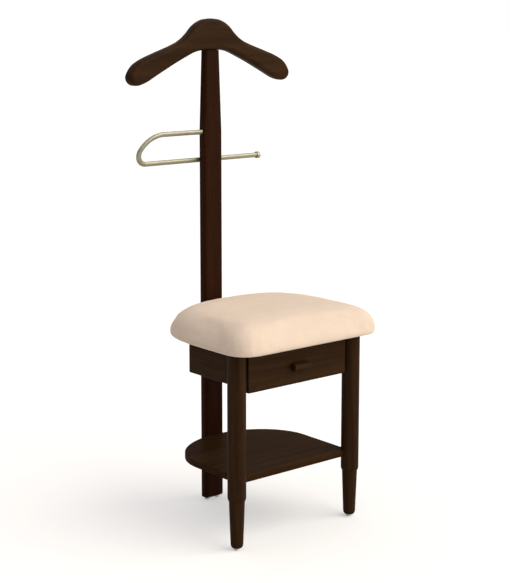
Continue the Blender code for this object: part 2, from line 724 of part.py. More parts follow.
def rail_dowels(side):
    y = (BACK_RAIL_FRONT + RAIL_END_Y) / 2
    inner = side * (RAIL_INNER_X - DOWEL_LENGTH / 2)
    outer = side * (RAIL_INNER_X + DOWEL_LENGTH / 2)
    heights = (RAIL_LOW + RAIL_HEIGHT * 0.28, RAIL_LOW + RAIL_HEIGHT * 0.68)
    return [((inner, y, z), (outer, y, z)) for z in heights]


def runner_screws(side):
    """Head, axis and length of the two screws that hold a runner on its rail."""
    z = (RUNNER_LOW + RUNNER_HIGH) / 2
    run = BACK_RAIL_FRONT - RUNNER_FRONT
    length = RAIL_INNER_X - RUNNER_INNER_X + RAIL_THICKNESS * 0.6
    return [
        ((side * RUNNER_INNER_X, RUNNER_FRONT + run * share, z), (side, 0, 0), length)
        for share in (0.2, 0.8)
    ]


def make_back_rail():
    half = RAIL_INNER_X - GAP
    low = (-half, BACK_RAIL_FRONT, RAIL_LOW)
    rail = block("back_rail", low, (half, RAIL_END_Y, TOP_OF_FRAME), STAINED)
    soften(rail, RAIL_EASE, 1)
    for side in (-1, 1):
        for ends in rail_dowels(side):
            cut_rod(rail, *lengthened(ends, GAP), DOWEL_RADIUS + GAP)
    for place in stretcher_screws():
        cut_screw(rail, *place)


def stretcher_screws():
    length = BACK_RAIL_THICKNESS + STRETCHER_SCREW_REACH
    return [((0, BACK_RAIL_FRONT, z), (0, 1, 0), length) for z in bolt_heights()]


def make_stretcher():
    half = STRETCHER_WIDTH / 2
    low = (-half, RAIL_END_Y + GAP, STRETCHER_LOW)
    stretcher = block("rear_stretcher", low, (half, POST_FRONT - GAP, TOP_OF_FRAME), STAINED)
    soften(stretcher, RAIL_EASE, 1)
    nut_y = POST_FRONT - BARREL_SETBACK
    side = half + CUT_RUN
    for place in stretcher_screws():
        cut_screw(stretcher, *place)
    for z in bolt_heights():
        start = (0, nut_y - CUT_RUN, z)
        cut_rod(stretcher, start, (0, POST_FRONT + CUT_RUN, z), BOLT_RADIUS + GAP)
        cut_rod(stretcher, (-side, nut_y, z), (side, nut_y, z), BARREL_RADIUS + GAP)


def make_post_bolts():
    nut_y = POST_FRONT - BARREL_SETBACK
    half = STRETCHER_WIDTH / 2 - BARREL_SETIN
    head_y = POST_BACK + GAP
    length = head_y - nut_y + BOLT_PAST_NUT
    for word, z in zip(("low", "high"), bolt_heights()):
        nut = rod(f"barrel_nut_{word}", (-half, nut_y, z), (half, nut_y, z), BARREL_RADIUS, STEEL)
        cut_rod(nut, (0, nut_y - CUT_RUN, z), (0, nut_y + CUT_RUN, z), BOLT_RADIUS + GAP)
        pan_screw(
            f"post_bolt_{word}", (0, head_y, z), (0, -1, 0), length,
            BOLT_RADIUS, BOLT_HEAD_RADIUS, BOLT_HEAD_HEIGHT,
        )


def make_front_top_rail():
    half = min(LEG_X - LEG_RADIUS / 2, RAIL_INNER_X - GAP)
    low = (-half, TOP_RAIL_FRONT, TOP_RAIL_LOW)
    rail = block("front_top_rail", low, (half, TOP_RAIL_BACK, TOP_OF_FRAME), STAINED)
    for side in (-1, 1):
        cope_rail(rail, side, TOP_RAIL_LOW)
    for side in (-1, 1):
        add_box(rail, *top_rail_tenon_box(side))
    for name, head, length in seat_screws():
        if "front" in name:
            cut_screw(rail, head, (0, 0, 1), length)
    cut_screw(rail, *stop_screw_place())


def seat_screws():
    """Name, head and length of the screws that hold the seat board on the frame."""
    front_y = (TOP_RAIL_FRONT + TOP_RAIL_BACK) / 2
    block_low = TOP_OF_FRAME - CORNER_BLOCK_HEIGHT
    rear_x = RAIL_INNER_X - CORNER_BLOCK_SIDE / 3
    rear_y = BACK_RAIL_FRONT - CORNER_BLOCK_SIDE / 3
    reach = BOARD_THICKNESS * 0.7
    screws = []
    for side, word in ((-1, "left"), (1, "right")):
        front = (side * LEG_X * 0.6, front_y, TOP_RAIL_LOW)
        rear = (side * rear_x, rear_y, block_low)
        screws.append((f"seat_screw_front_{word}", front, TOP_RAIL_HEIGHT + GAP + reach))
        screws.append((f"seat_screw_rear_{word}", rear, CORNER_BLOCK_HEIGHT + GAP + reach))
    return screws


def make_corner_block(name, side):
    low = TOP_OF_FRAME - CORNER_BLOCK_HEIGHT
    x = RAIL_INNER_X - GAP
    y = BACK_RAIL_FRONT - GAP
    outline = [
        Vector((side * x, y, low)), Vector((side * (x - CORNER_BLOCK_SIDE), y, low)),
        Vector((side * x, y - CORNER_BLOCK_SIDE, low)),
    ]
    bm = prism_mesh(outline, (0, 0, CORNER_BLOCK_HEIGHT))
    corner = add_object(name, bm, BARE)
    for screw_name, head, length in seat_screws():
        if screw_name.endswith("rear" + name.removeprefix("corner_block")):
            cut_screw(corner, head, (0, 0, 1), length)


def cushion_profile():
    """Heights above the underside and insets of the cushion's rings, from its lower edge up."""
    rings = []
    for share in (1, 0.5):
        angle = math.radians(90 * share)
        height = CUSHION_WIDEST_HEIGHT * (1 - math.sin(angle))
        rings.append((height, CUSHION_TUCK * (1 - math.cos(angle))))
    for share in (0, 0.2, 0.4, 0.6, 0.8, 1):
        angle = math.radians(90 * share)
        rise = (CUSHION_HEIGHT - CUSHION_WIDEST_HEIGHT) * math.sin(angle)
        rings.append((CUSHION_WIDEST_HEIGHT + rise, CUSHION_ROUND * (1 - math.cos(angle))))
    rings.append((CUSHION_HEIGHT + CUSHION_CROWN, CUSHION_ROUND * 2))
    return rings


def make_seat():
    outline = [Vector((x, y, SEAT_UNDERSIDE)) for x, y in seat_outline(BOARD_INSET)]
    board = add_object("seat_board", prism_mesh(outline, (0, 0, BOARD_THICKNESS)), BARE)
    for name, head, length in seat_screws():
        cut_screw(board, head, (0, 0, 1), length)
        screw(name, head, (0, 0, 1), length)
    rings = [
        [Vector((x, y, SEAT_UNDERSIDE + height)) for x, y in seat_outline(inset)]
        for height, inset in cushion_profile()
    ]
    cushion = smooth(add_object("seat_cushion", loft_mesh(rings), CLOTH))
    pocket_low = SEAT_UNDERSIDE - CUT_RUN
    pocket = [Vector((x, y, pocket_low)) for x, y in seat_outline(BOARD_INSET - GAP)]
    cut_mesh(cushion, prism_mesh(pocket, (0, 0, CUT_RUN + BOARD_THICKNESS + GAP)))


def make_shelf():
    outline = d_outline(
        SHELF_HALF_WIDTH, 0, SHELF_BACK, SHELF_CORNER, SHELF_STRAIGHT_END,
        power=2.0, curve_steps=16, corner_steps=2,
    )
    bm = prism_mesh([Vector((x, y, SHELF_LOW)) for x, y in outline], (0, 0, SHELF_THICKNESS))
    shelf = soften(add_object("shelf", bm, STAINED), SHELF_EASE, 1, 60)
    for side in (-1, 1):
        start = (side * LEG_X, 0, SHELF_LOW - CUT_RUN)
        cut_rod(shelf, start, (side * LEG_X, 0, SHELF_TOP + CUT_RUN), LEG_RADIUS + GAP, 32)
        cut_rod(shelf, *lengthened(shelf_dowel_ends(side), GAP), SHELF_DOWEL_RADIUS + GAP)
    length = POST_BACK - SHELF_BACK + SHELF_SCREW_REACH
    tip = (0, POST_BACK - length - GAP, SHELF_MID)
    cut_rod(shelf, tip, (0, POST_Y, SHELF_MID), SHELF_SCREW_RADIUS + GAP)
    pan_screw(
        "shelf_screw", (0, POST_BACK + GAP, SHELF_MID), (0, -1, 0), length,
        SHELF_SCREW_RADIUS, SHELF_SCREW_HEAD_RADIUS, SHELF_SCREW_HEAD_HEIGHT,
    )
    for side, word in ((-1, "left"), (1, "right")):
        rod(f"shelf_dowel_{word}", *shelf_dowel_ends(side), SHELF_DOWEL_RADIUS, BARE)


def make_runner(name, side):
    low_x, high_x = sorted((side * RUNNER_INNER_X, side * (RAIL_INNER_X - GAP)))
    low = (low_x, RUNNER_FRONT, RUNNER_LOW)
    runner = block(name, low, (high_x, BACK_RAIL_FRONT - GAP, RUNNER_HIGH), BARE)
    for number, place in enumerate(runner_screws(side), 1):
        cut_screw(runner, *place)
        screw(name.replace("runner", "runner_screw") + f"_{number}", *place)


def stop_screw_place():
    z = (TOP_RAIL_LOW + TOP_OF_FRAME) / 2
    head = (0, TOP_RAIL_BACK + GAP + STOP_THICKNESS, z)
    return head, (0, -1, 0), STOP_THICKNESS + TOP_RAIL_DEPTH * 0.6


def make_drawer_stop():
    low = (-STOP_WIDTH / 2, TOP_RAIL_BACK + GAP, TOP_RAIL_LOW - STOP_DROP)
    high = (STOP_WIDTH / 2, TOP_RAIL_BACK + GAP + STOP_THICKNESS, TOP_OF_FRAME - STOP_GAP_ABOVE)
    stop = soften(block("drawer_stop", low, high, BARE), STOP_EASE, 1)
    cut_screw(stop, *stop_screw_place())
    screw("stop_screw", *stop_screw_place())


def drawer_bottom_box(grow=0.0):
    half = DRAWER_SIDE_INNER + HOUSING_DEPTH + grow
    low = (-half, DRAWER_FRONT_BACK - HOUSING_DEPTH - grow, DRAWER_BOTTOM_LOW - grow)
    return low, (half, DRAWER_REAR + grow, DRAWER_BOTTOM_HIGH + grow)


def drawer_side_box(side, grow=0.0):
    low_x, high_x = sorted((side * (DRAWER_SIDE_INNER - grow), side * (DRAWER_SIDE_OUTER + grow)))
    front = DRAWER_FRONT_BACK - HOUSING_DEPTH - grow
    return (low_x, front, DRAWER_SIDE_LOW - grow), (high_x, DRAWER_REAR, DRAWER_SIDE_HIGH + grow)


def drawer_back_box(grow=0.0):
    half = DRAWER_SIDE_INNER + HOUSING_DEPTH + grow
    low = (-half, DRAWER_BACK_INNER - grow, DRAWER_BOTTOM_HIGH + GAP - grow)
    return low, (half, DRAWER_REAR + grow, DRAWER_SIDE_HIGH + grow)


def pull_screw_place(side):
    head = (side * PULL_SCREW_OFFSET, DRAWER_FRONT_BACK + GAP, DRAWER_MID_Z)
    return head, (0, -1, 0), DRAWER_FRONT_THICKNESS + PULL_RADIUS


def make_drawer_front():
    low = (-DRAWER_HALF_WIDTH, DRAWER_FACE, DRAWER_FRONT_LOW)
    high = (DRAWER_HALF_WIDTH, DRAWER_FRONT_BACK, DRAWER_FRONT_HIGH)
    front = soften(block("drawer_front", low, high, STAINED, drawer), RAIL_EASE, 2)
    for side in (-1, 1):
        cut_box(front, *drawer_side_box(side, GAP))
        x, y, z = pull_screw_place(side)[0]
        end = (x, DRAWER_FACE - CUT_RUN, z)
        cut_rod(front, (x, y + CUT_RUN, z), end, SCREW_RADIUS + GAP)
    cut_box(front, *drawer_bottom_box(GAP))


def make_drawer_side(name, side):
    board = block(name, *drawer_side_box(side), BARE, drawer)
    cut_box(board, *drawer_bottom_box(GAP))
    cut_box(board, *drawer_back_box(GAP))
    bottom = side * (DRAWER_SIDE_OUTER - RUNNER_GROOVE_DEPTH)
    low_x, high_x = sorted((bottom, side * (DRAWER_SIDE_OUTER + CUT_RUN)))
    low = (low_x, RUNNER_FRONT - RUNNER_FRONT_GAP, RUNNER_LOW - SLIDE_GAP)
    cut_box(board, low, (high_x, DRAWER_REAR + CUT_RUN, RUNNER_HIGH + SLIDE_GAP))


def make_drawer_pull():
    half = PULL_LENGTH / 2
    profile = [
        (0, -half), (PULL_RADIUS - PULL_EDGE, -half), (PULL_RADIUS, -half + PULL_EDGE),
        (PULL_RADIUS, half - PULL_EDGE), (PULL_RADIUS - PULL_EDGE, half), (0, half),
    ]
    base = (0, PULL_Y, DRAWER_MID_Z)
    pull = turned("drawer_pull", profile, base, STAINED, steps=24, axis=(1, 0, 0), parent=drawer)
    low = (-PULL_LENGTH, DRAWER_FACE - GAP, DRAWER_MID_Z - PULL_RADIUS * 2)
    cut_box(pull, low, (PULL_LENGTH, DRAWER_FACE + PULL_RADIUS, DRAWER_MID_Z + PULL_RADIUS * 2))
    for side, word in ((-1, "left"), (1, "right")):
        head, axis, length = pull_screw_place(side)
        x, y, z = head
        cut_rod(pull, (x, DRAWER_FACE, z), (x, y - length - GAP, z), SCREW_RADIUS + GAP)
        pan_screw(
            f"pull_screw_{word}", head, axis, length,
            SCREW_RADIUS, PAN_HEAD_RADIUS, PAN_HEAD_HEIGHT, drawer,
        )


def make_drawer():
    make_drawer_front()
    make_drawer_side("drawer_side_left", -1)
    make_drawer_side("drawer_side_right", 1)
    block("drawer_back", *drawer_back_box(), BARE, drawer)
    block("drawer_bottom", *drawer_bottom_box(), BARE, drawer)
    make_drawer_pull()


def make_frame():
    make_post()
    make_hanger()
    make_trouser_bar()
    for side, word in ((-1, "left"), (1, "right")):
        make_leg(f"front_leg_{word}", side)
        make_side_rail(f"side_rail_{word}", side)
        make_corner_block(f"corner_block_{word}", side)
        make_runner(f"runner_{word}", side)
        for height, ends in zip(("low", "high"), rail_dowels(side)):
            rod(f"rail_dowel_{word}_{height}", *ends, DOWEL_RADIUS, BARE)
    make_back_rail()
    make_stretcher()
    make_post_bolts()
    for height, place in zip(("low", "high"), stretcher_screws()):
        screw(f"stretcher_screw_{height}", *place)
    make_front_top_rail()
    make_drawer_stop()
    make_shelf()


make_frame()
make_seat()
make_drawer()
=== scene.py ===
"""Looks of the valet stand: dark stained beech, a suede seat, a nickel trouser bar.

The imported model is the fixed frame. Round and soft pieces are made again here at a finer
grain, each in the place of its solid, and everything gets its finish.
"""

import math

import bmesh
import bpy
from mathutils import Matrix, Vector


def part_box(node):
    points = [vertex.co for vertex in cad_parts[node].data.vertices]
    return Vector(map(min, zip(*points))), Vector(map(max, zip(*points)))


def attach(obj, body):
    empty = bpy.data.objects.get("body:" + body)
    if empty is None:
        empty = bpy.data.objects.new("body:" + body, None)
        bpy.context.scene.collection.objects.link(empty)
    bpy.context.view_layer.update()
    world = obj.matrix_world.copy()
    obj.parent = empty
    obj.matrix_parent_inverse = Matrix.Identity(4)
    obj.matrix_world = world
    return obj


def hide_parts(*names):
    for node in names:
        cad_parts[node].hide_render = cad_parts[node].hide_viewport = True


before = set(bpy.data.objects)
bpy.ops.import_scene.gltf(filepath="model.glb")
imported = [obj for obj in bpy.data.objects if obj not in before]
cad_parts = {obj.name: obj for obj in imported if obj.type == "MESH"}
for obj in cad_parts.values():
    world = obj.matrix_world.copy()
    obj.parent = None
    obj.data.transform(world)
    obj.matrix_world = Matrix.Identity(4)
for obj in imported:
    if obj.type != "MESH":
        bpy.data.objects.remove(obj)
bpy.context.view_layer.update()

# Joinery sizes that the pieces' own boxes don't give, in metres
POST_EDGE = 0.0065
POST_TAPER_START = 0.868
POST_TOP_WIDTH = 0.0394
POST_TOE_ROUND = 0.004
TENON_HEIGHT = 0.030
TENON_SIDE_SETIN = 0.0077
TENON_FACE_SETIN = 0.0052
LEG_SHOULDER_RADIUS = 0.01725
LEG_SHOULDER_LOW = 0.110
LEG_SHOULDER_HIGH = 0.119
LEG_TOE_RADIUS = 0.01375
LEG_TOE_ROUND_WIDTH = 0.0055
LEG_TOE_ROUND_HEIGHT = 0.009
HANGER_EDGE = 0.010
BAR_RADIUS = 0.00575
BAR_HIGH = 0.8669
BAR_LOW = 0.8022
BAR_BEND_START = 0.1309
BAR_BIG_BEND = 0.0668
BAR_SMALL_BEND = 0.0215
BAR_SOCKET_DEPTH = 0.013
CAP_EDGE = 0.0022
CAP_LIP = 0.0008
CAP_WALL = 0.003
ARRIS = 0.0006
SHELF_CORNER = 0.002
SHELF_EASE = 0.002
SHELF_STRAIGHT_END = 0.150
PULL_EDGE = 0.0018
GLIDE_EDGE = 0.0014
NAIL_RADIUS = 0.0012
NAIL_POINT = 0.001
SCREW_RADIUS = 0.00175
BOLT_RADIUS = 0.0030
SHELF_SCREW_RADIUS = 0.0024
FIT_GAP = 0.0003
PLY_THICKNESS = 0.0013
LEG_CUTTER_LENGTH = 0.1

# Edges sharper than these stay sharp in the shading, and arrises above the last are sanded
SHARP_DEGREES = 40.0
DRIVE_SHARP_DEGREES = 35.0
PAD_SHARP_DEGREES = 60.0
ARRIS_DEGREES = 50.0

# Screw heads and drive recesses, as shares of the head's radius
DOME_WIDTH = 0.45
DOME_HEIGHT = 0.35
DOME_THICKNESS = 0.46
CONE_DEPTH = 0.61
DRIVE_DEPTH = 0.50
HEX_REACH = 0.42
CROSS_REACH = 0.60
CROSS_ARM = 0.24
CROSS_TAPER = 0.55

# Screw tips, as shares of the shank's radius
TIP_LENGTH = 2.0
TIP_RADIUS = 0.3

# How far a recess cutter starts above the head, as a share of its own depth
CUTTER_RISE = 0.1

# Half outline of the hanger from its crown, as (x, z)
HANGER_TOP_RUN = (
    (0.0, 0.0), (0.024, -0.0033), (0.047, -0.0155), (0.066, -0.034), (0.086, -0.0485),
    (0.112, -0.0595), (0.155, -0.0740), (0.190, -0.0870), (0.213, -0.1010),
)
HANGER_LOW_RUN = (
    (0.2265, -0.1220), (0.2225, -0.1370), (0.208, -0.1435), (0.184, -0.1380),
    (0.152, -0.1220), (0.110, -0.1010), (0.075, -0.0850), (0.048, -0.0740),
    (0.0237, -0.0697),
)

# Seat padding: how much smaller it starts, and how the cloth blows it up
PAD_START_INSET = 0.003
PAD_START_LOW = 0.005
PAD_VOXEL = 0.0045
PAD_PRESSURE = 4.0
PAD_FRAMES = 20
PAD_MOST_MOVE = 0.007
PAD_PINNED_HEIGHT = 0.003
PAD_RELAX_BEFORE = 3
PAD_RELAX_AFTER = 8
PAD_SIDE_GAP = 0.002

# Light: the floor's own glow towards the camera, the tent's walls and ceiling, the key
FLOOR_GLOW = 0.38
WALL_DARK_SIDE = 0.05
WALL_BRIGHT_SIDE = 0.62
CEILING_LIGHT = 0.80
BRIGHT_SIDE = (0.75, -0.66, 0.0)
KEY_LIGHT = 2.4
KEY_SPREAD_DEGREES = 70
KEY_PLACE = (1.6, -2.6, 2.1)

# Camera
CAMERA_PLACE = (-2.0118, -2.4115, 1.1513)
CAMERA_YAW_DEGREES = 39.703
CAMERA_PITCH_DEGREES = 9.470
LENS_MM = 89.09
LENS_SHIFT = -0.08


# --- Node and colour helpers ---------------------------------------------------------------

def srgb(code):
    """A hex colour as linear RGBA."""
    channels = [int(code[i:i + 2], 16) / 255 for i in (1, 3, 5)]
    linear = [c / 12.92 if c <= 0.04045 else ((c + 0.055) / 1.055) ** 2.4 for c in channels]
    return (*linear, 1.0)


def add(tree, kind, inputs=None, **settings):
    """Adds a node. inputs maps a socket to a value, or to the output it is linked from."""
    node = tree.nodes.new(kind)
    for name, value in settings.items():
        setattr(node, name, value)
    for socket, value in (inputs or {}).items():
        if isinstance(value, bpy.types.NodeSocket):
            tree.links.new(value, node.inputs[socket])
        else:
            node.inputs[socket].default_value = value
    return node


def new_material(name):
    """An empty material with its Principled shader."""
    material = bpy.data.materials.new(name)
    material.use_nodes = True
    tree = material.node_tree
    tree.nodes.clear()
    shader = add(tree, "ShaderNodeBsdfPrincipled")
    add(tree, "ShaderNodeOutputMaterial", {"Surface": shader.outputs["BSDF"]})
    return material, tree, shader


def grain_places(tree, along, stretch):
    """Object coordinates, squeezed along the grain so that patterns stretch that way."""
    place = add(tree, "ShaderNodeTexCoord").outputs["Object"]
    scale = [1.0, 1.0, 1.0]
    scale["XYZ".index(along)] = 1.0 / stretch
    return add(tree, "ShaderNodeMapping", {"Vector": place, "Scale": scale}).outputs["Vector"]


def noise(tree, place, size_mm, detail=2.0, roughness=0.5, distortion=0.0):
    """Noise whose blotches are about size_mm across."""
    node = add(tree, "ShaderNodeTexNoise", {
        "Vector": place, "Scale": 1000.0 / size_mm, "Detail": detail,
        "Roughness": roughness, "Distortion": distortion,
    })
    return node.outputs["Fac"]


def ramp(tree, factor, *stops):
    """Colour ramp through (position, hex colour) stops."""
    node = add(tree, "ShaderNodeValToRGB", {"Fac": factor})
    elements = node.color_ramp.elements
    while len(elements) < len(stops):
        elements.new(0.5)
    for element, (position, colour) in zip(elements, stops):
        element.position = position
        element.color = srgb(colour)
    return node.outputs["Color"]


def between(tree, factor, low, high):
    """Maps a 0 to 1 pattern to a range of plain numbers."""
    node = add(tree, "ShaderNodeMapRange", {
        "Value": factor, "From Min": 0.25, "From Max": 0.75, "To Min": low, "To Max": high,
    })
    return node.outputs["Result"]


def darken(tree, share, colour, pattern):
    """Multiplies a colour by a pattern's colour; share 0 leaves it, 1 multiplies in full."""
    node = add(tree, "ShaderNodeMix", {0: share, 6: colour, 7: pattern},
               data_type="RGBA", blend_type="MULTIPLY")
    return node.outputs[2]


def bump(tree, height, depth_mm, normal=None):
    """Relief of a pattern, added to an earlier relief where one is given."""
    inputs = {"Height": height, "Distance": depth_mm / 1000.0, "Strength": 1.0}
    if normal is not None:
        inputs["Normal"] = normal
    return add(tree, "ShaderNodeBump", inputs).outputs["Normal"]


# --- Finishes ------------------------------------------------------------------------------

def stained_beech(name, along, dark, middle, light, shine=0.04):
    """Beech stained espresso and sprayed with satin lacquer. The stain sinks into the short
    dark ray flecks and leaves faint growth bands; the lacquer levels the pores to a soft
    sheen that never quite becomes a mirror. shine is what is left of it: little on a board
    that shoes rub."""
    material, tree, shader = new_material(f"{name}_{along.lower()}")
    long_place = grain_places(tree, along, 22.0)
    fleck_place = grain_places(tree, along, 7.0)
    bands = noise(tree, long_place, 14.0, detail=3.0, distortion=0.6)
    fibre = noise(tree, long_place, 1.1, detail=4.0, roughness=0.65)
    flecks = noise(tree, fleck_place, 0.9, detail=1.0)
    colour = ramp(tree, bands, (0.30, dark), (0.50, middle), (0.72, light))
    fibres = ramp(tree, fibre, (0.30, "#B9B0A8"), (0.62, "#FFFFFF"))
    colour = darken(tree, 0.55, colour, fibres)
    rays = ramp(tree, flecks, (0.30, "#6A5A50"), (0.40, "#FFFFFF"))
    colour = darken(tree, 0.42, colour, rays)
    tree.links.new(colour, shader.inputs["Base Color"])
    tree.links.new(between(tree, fibre, 0.40, 0.50), shader.inputs["Roughness"])
    shader.inputs["IOR"].default_value = 1.50
    shader.inputs["Specular IOR Level"].default_value = shine
    shader.inputs["Coat Weight"].default_value = 0.01
    shader.inputs["Coat Roughness"].default_value = 0.28
    normal = bump(tree, fibre, 0.03)
    normal = bump(tree, flecks, 0.02, normal)
    tree.links.new(normal, shader.inputs["Normal"])
    return material


def bare_beech(along):
    """Sanded beech with no finish, for the drawer's box and the hidden blocks: pale pinkish
    tan, matt, with fine darker ray flecks."""
    material, tree, shader = new_material(f"sanded_bare_beech_{along.lower()}")
    long_place = grain_places(tree, along, 18.0)
    bands = noise(tree, long_place, 11.0, detail=3.0, distortion=0.5)
    flecks = noise(tree, grain_places(tree, along, 6.0), 0.8, detail=1.0)
    colour = ramp(tree, bands, (0.28, "#C39A6A"), (0.5, "#D0AA7B"), (0.75, "#DBBA8F"))
    rays = ramp(tree, flecks, (0.32, "#A9825B"), (0.42, "#FFFFFF"))
    colour = darken(tree, 0.6, colour, rays)
    tree.links.new(colour, shader.inputs["Base Color"])
    shader.inputs["Roughness"].default_value = 0.68
    fibre = noise(tree, long_place, 0.9, detail=4.0)
    tree.links.new(bump(tree, fibre, 0.05), shader.inputs["Normal"])
    return material


def birch_plywood():
    """Rotary-cut birch plywood: broad wavy figure on its faces, thin light and dark plies on
    its edges."""
    material, tree, shader = new_material("birch_plywood")
    place = grain_places(tree, "X", 5.0)
    figure = noise(tree, place, 26.0, detail=2.0, distortion=1.6)
    colour = ramp(tree, figure, (0.30, "#C8A675"), (0.48, "#DABB8B"), (0.70, "#E4CBA0"))
    height = add(tree, "ShaderNodeSeparateXYZ", {
        "Vector": add(tree, "ShaderNodeTexCoord").outputs["Object"],
    }).outputs["Z"]
    turns = add(tree, "ShaderNodeMath", {0: height, 1: math.pi / PLY_THICKNESS},
                operation="MULTIPLY").outputs[0]
    wave = add(tree, "ShaderNodeMath", {0: turns}, operation="SINE").outputs[0]
    plies = ramp(tree, wave, (0.35, "#FFFFFF"), (0.60, "#9C7548"))
    colour = darken(tree, edge_mask(tree), colour, plies)
    tree.links.new(colour, shader.inputs["Base Color"])
    shader.inputs["Roughness"].default_value = 0.66
    tree.links.new(bump(tree, figure, 0.04), shader.inputs["Normal"])
    return material


def edge_mask(tree):
    """1 on upright faces and 0 on level ones, from the surface's own direction."""
    normal = add(tree, "ShaderNodeNewGeometry").outputs["True Normal"]
    up = add(tree, "ShaderNodeSeparateXYZ", {"Vector": normal}).outputs["Z"]
    level = add(tree, "ShaderNodeMath", {0: up}, operation="ABSOLUTE").outputs[0]
    return add(tree, "ShaderNodeMath", {0: level, 1: 0.5}, operation="LESS_THAN").outputs[0]


def cream_suede():
    """Polyester microsuede, knitted and sanded to a short nap. The nap scatters light, so the
    cloth looks soft and a little brighter at grazing angles, with faint patches where the
    hand has laid it another way."""
    material, tree, shader = new_material("cream_microsuede")
    place = add(tree, "ShaderNodeTexCoord").outputs["Object"]
    patches = noise(tree, place, 34.0, detail=3.0, roughness=0.55)
    nap = noise(tree, place, 1.6, detail=4.0, roughness=0.7)
    fuzz = noise(tree, place, 0.7, detail=2.0, roughness=0.6)
    colour = ramp(tree, patches, (0.30, "#DBCBBD"), (0.52, "#DDCDBF"), (0.74, "#E0D1C4"))
    naps = ramp(tree, nap, (0.28, "#E9E2D8"), (0.60, "#FFFFFF"))
    colour = darken(tree, 0.8, colour, naps)
    tree.links.new(colour, shader.inputs["Base Color"])
    tree.links.new(between(tree, patches, 0.86, 0.95), shader.inputs["Roughness"])
    shader.inputs["IOR"].default_value = 1.45
    shader.inputs["Specular IOR Level"].default_value = 0.25
    shader.inputs["Sheen Weight"].default_value = 0.22
    shader.inputs["Sheen Roughness"].default_value = 0.45
    shader.inputs["Sheen Tint"].default_value = srgb("#FFF3E0")
    normal = bump(tree, nap, 0.10)
    normal = bump(tree, fuzz, 0.05, normal)
    tree.links.new(normal, shader.inputs["Normal"])
    return material


def satin_nickel():
    """Steel rod plated with nickel and tumbled to a warm satin: broad soft highlights and a
    fine even grit, drawn a little coarser than the real 0.1 mm so that it shows."""
    material, tree, shader = new_material("satin_nickel_plate")
    place = add(tree, "ShaderNodeTexCoord").outputs["Object"]
    grit = noise(tree, place, 0.5, detail=2.0)
    cloud = noise(tree, place, 9.0, detail=2.0)
    colour = ramp(tree, cloud, (0.30, "#A3A28F"), (0.70, "#AFAE9D"))
    tree.links.new(colour, shader.inputs["Base Color"])
    shader.inputs["Metallic"].default_value = 1.0
    tree.links.new(between(tree, grit, 0.46, 0.56), shader.inputs["Roughness"])
    tree.links.new(bump(tree, grit, 0.006), shader.inputs["Normal"])
    return material


def zinc_plate():
    """Bright zinc-plated steel screws: cool grey, with the cloudy patches of a barrel-plated
    batch."""
    material, tree, shader = new_material("zinc_plated_steel")
    place = add(tree, "ShaderNodeTexCoord").outputs["Object"]
    cloud = noise(tree, place, 2.5, detail=3.0)
    colour = ramp(tree, cloud, (0.30, "#9FA09C"), (0.70, "#C2C4C2"))
    tree.links.new(colour, shader.inputs["Base Color"])
    shader.inputs["Metallic"].default_value = 1.0
    tree.links.new(between(tree, cloud, 0.24, 0.42), shader.inputs["Roughness"])
    tree.links.new(bump(tree, cloud, 0.01), shader.inputs["Normal"])
    return material


def moulded_nylon():
    """Nail-in glides of natural nylon: milky white, half gloss, with a faint moulding grain
    and a little scuffing."""
    material, tree, shader = new_material("natural_nylon")
    place = add(tree, "ShaderNodeTexCoord").outputs["Object"]
    scuffs = noise(tree, place, 1.8, detail=4.0, roughness=0.7)
    colour = ramp(tree, scuffs, (0.30, "#D9D7CF"), (0.62, "#ECEBE5"))
    tree.links.new(colour, shader.inputs["Base Color"])
    tree.links.new(between(tree, scuffs, 0.36, 0.52), shader.inputs["Roughness"])
    shader.inputs["IOR"].default_value = 1.53
    shader.inputs["Subsurface Weight"].default_value = 0.15
    shader.inputs["Subsurface Scale"].default_value = 0.002
    tree.links.new(bump(tree, scuffs, 0.02), shader.inputs["Normal"])
    return material


STAIN = {
    along: stained_beech("espresso_stained_beech", along, "#2C1B0D", "#342211", "#3C2816")
    for along in "XYZ"
}
# The post took the stain darker and redder, and the shelf is rubbed dull
DARK_STAIN = stained_beech("redder_stained_beech", "Z", "#220E03", "#2A1204", "#321807")
DULL_STAIN = stained_beech("rubbed_stained_beech", "X", "#2C1B0D", "#342211", "#3C2816", 0.01)
BARE = {along: bare_beech(along) for along in "XYZ"}
PLYWOOD = birch_plywood()
SUEDE = cream_suede()
NICKEL = satin_nickel()
ZINC = zinc_plate()
NYLON = moulded_nylon()


# --- Shape helpers -------------------------------------------------------------------------

def add_piece(name, bm, finish, node, body="frame"):
    """Links the mesh as a piece that rides on a body and stands for a solid."""
    bmesh.ops.remove_doubles(bm, verts=bm.verts, dist=1e-6)
    bmesh.ops.recalc_face_normals(bm, faces=bm.faces)
    mesh = bpy.data.meshes.new(name)
    bm.to_mesh(mesh)
    bm.free()
    mesh.shade_smooth()
    mesh.set_sharp_from_angle(angle=math.radians(SHARP_DEGREES))
    mesh.materials.append(finish)
    piece = bpy.data.objects.new(name, mesh)
    bpy.context.scene.collection.objects.link(piece)
    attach(piece, body)
    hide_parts(node)
    return piece


def keep_flats_flat(piece):
    """Weights the normals by face area, so that a flat face beside a rounding shades flat."""
    modifier = piece.modifiers.new("flat_faces", "WEIGHTED_NORMAL")
    modifier.keep_sharp = True
    return piece


def verts_in(geom):
    return [part for part in geom if isinstance(part, bmesh.types.BMVert)]


def edges_in(geom):
    return [part for part in geom if isinstance(part, bmesh.types.BMEdge)]


def open_edges(bm):
    return [edge for edge in bm.edges if edge.is_boundary]


def is_level(edge):
    return abs(edge.verts[0].co.z - edge.verts[1].co.z) < 1e-5


def highest_face(bm):
    return max(bm.faces, key=lambda face: face.calc_center_median().z)


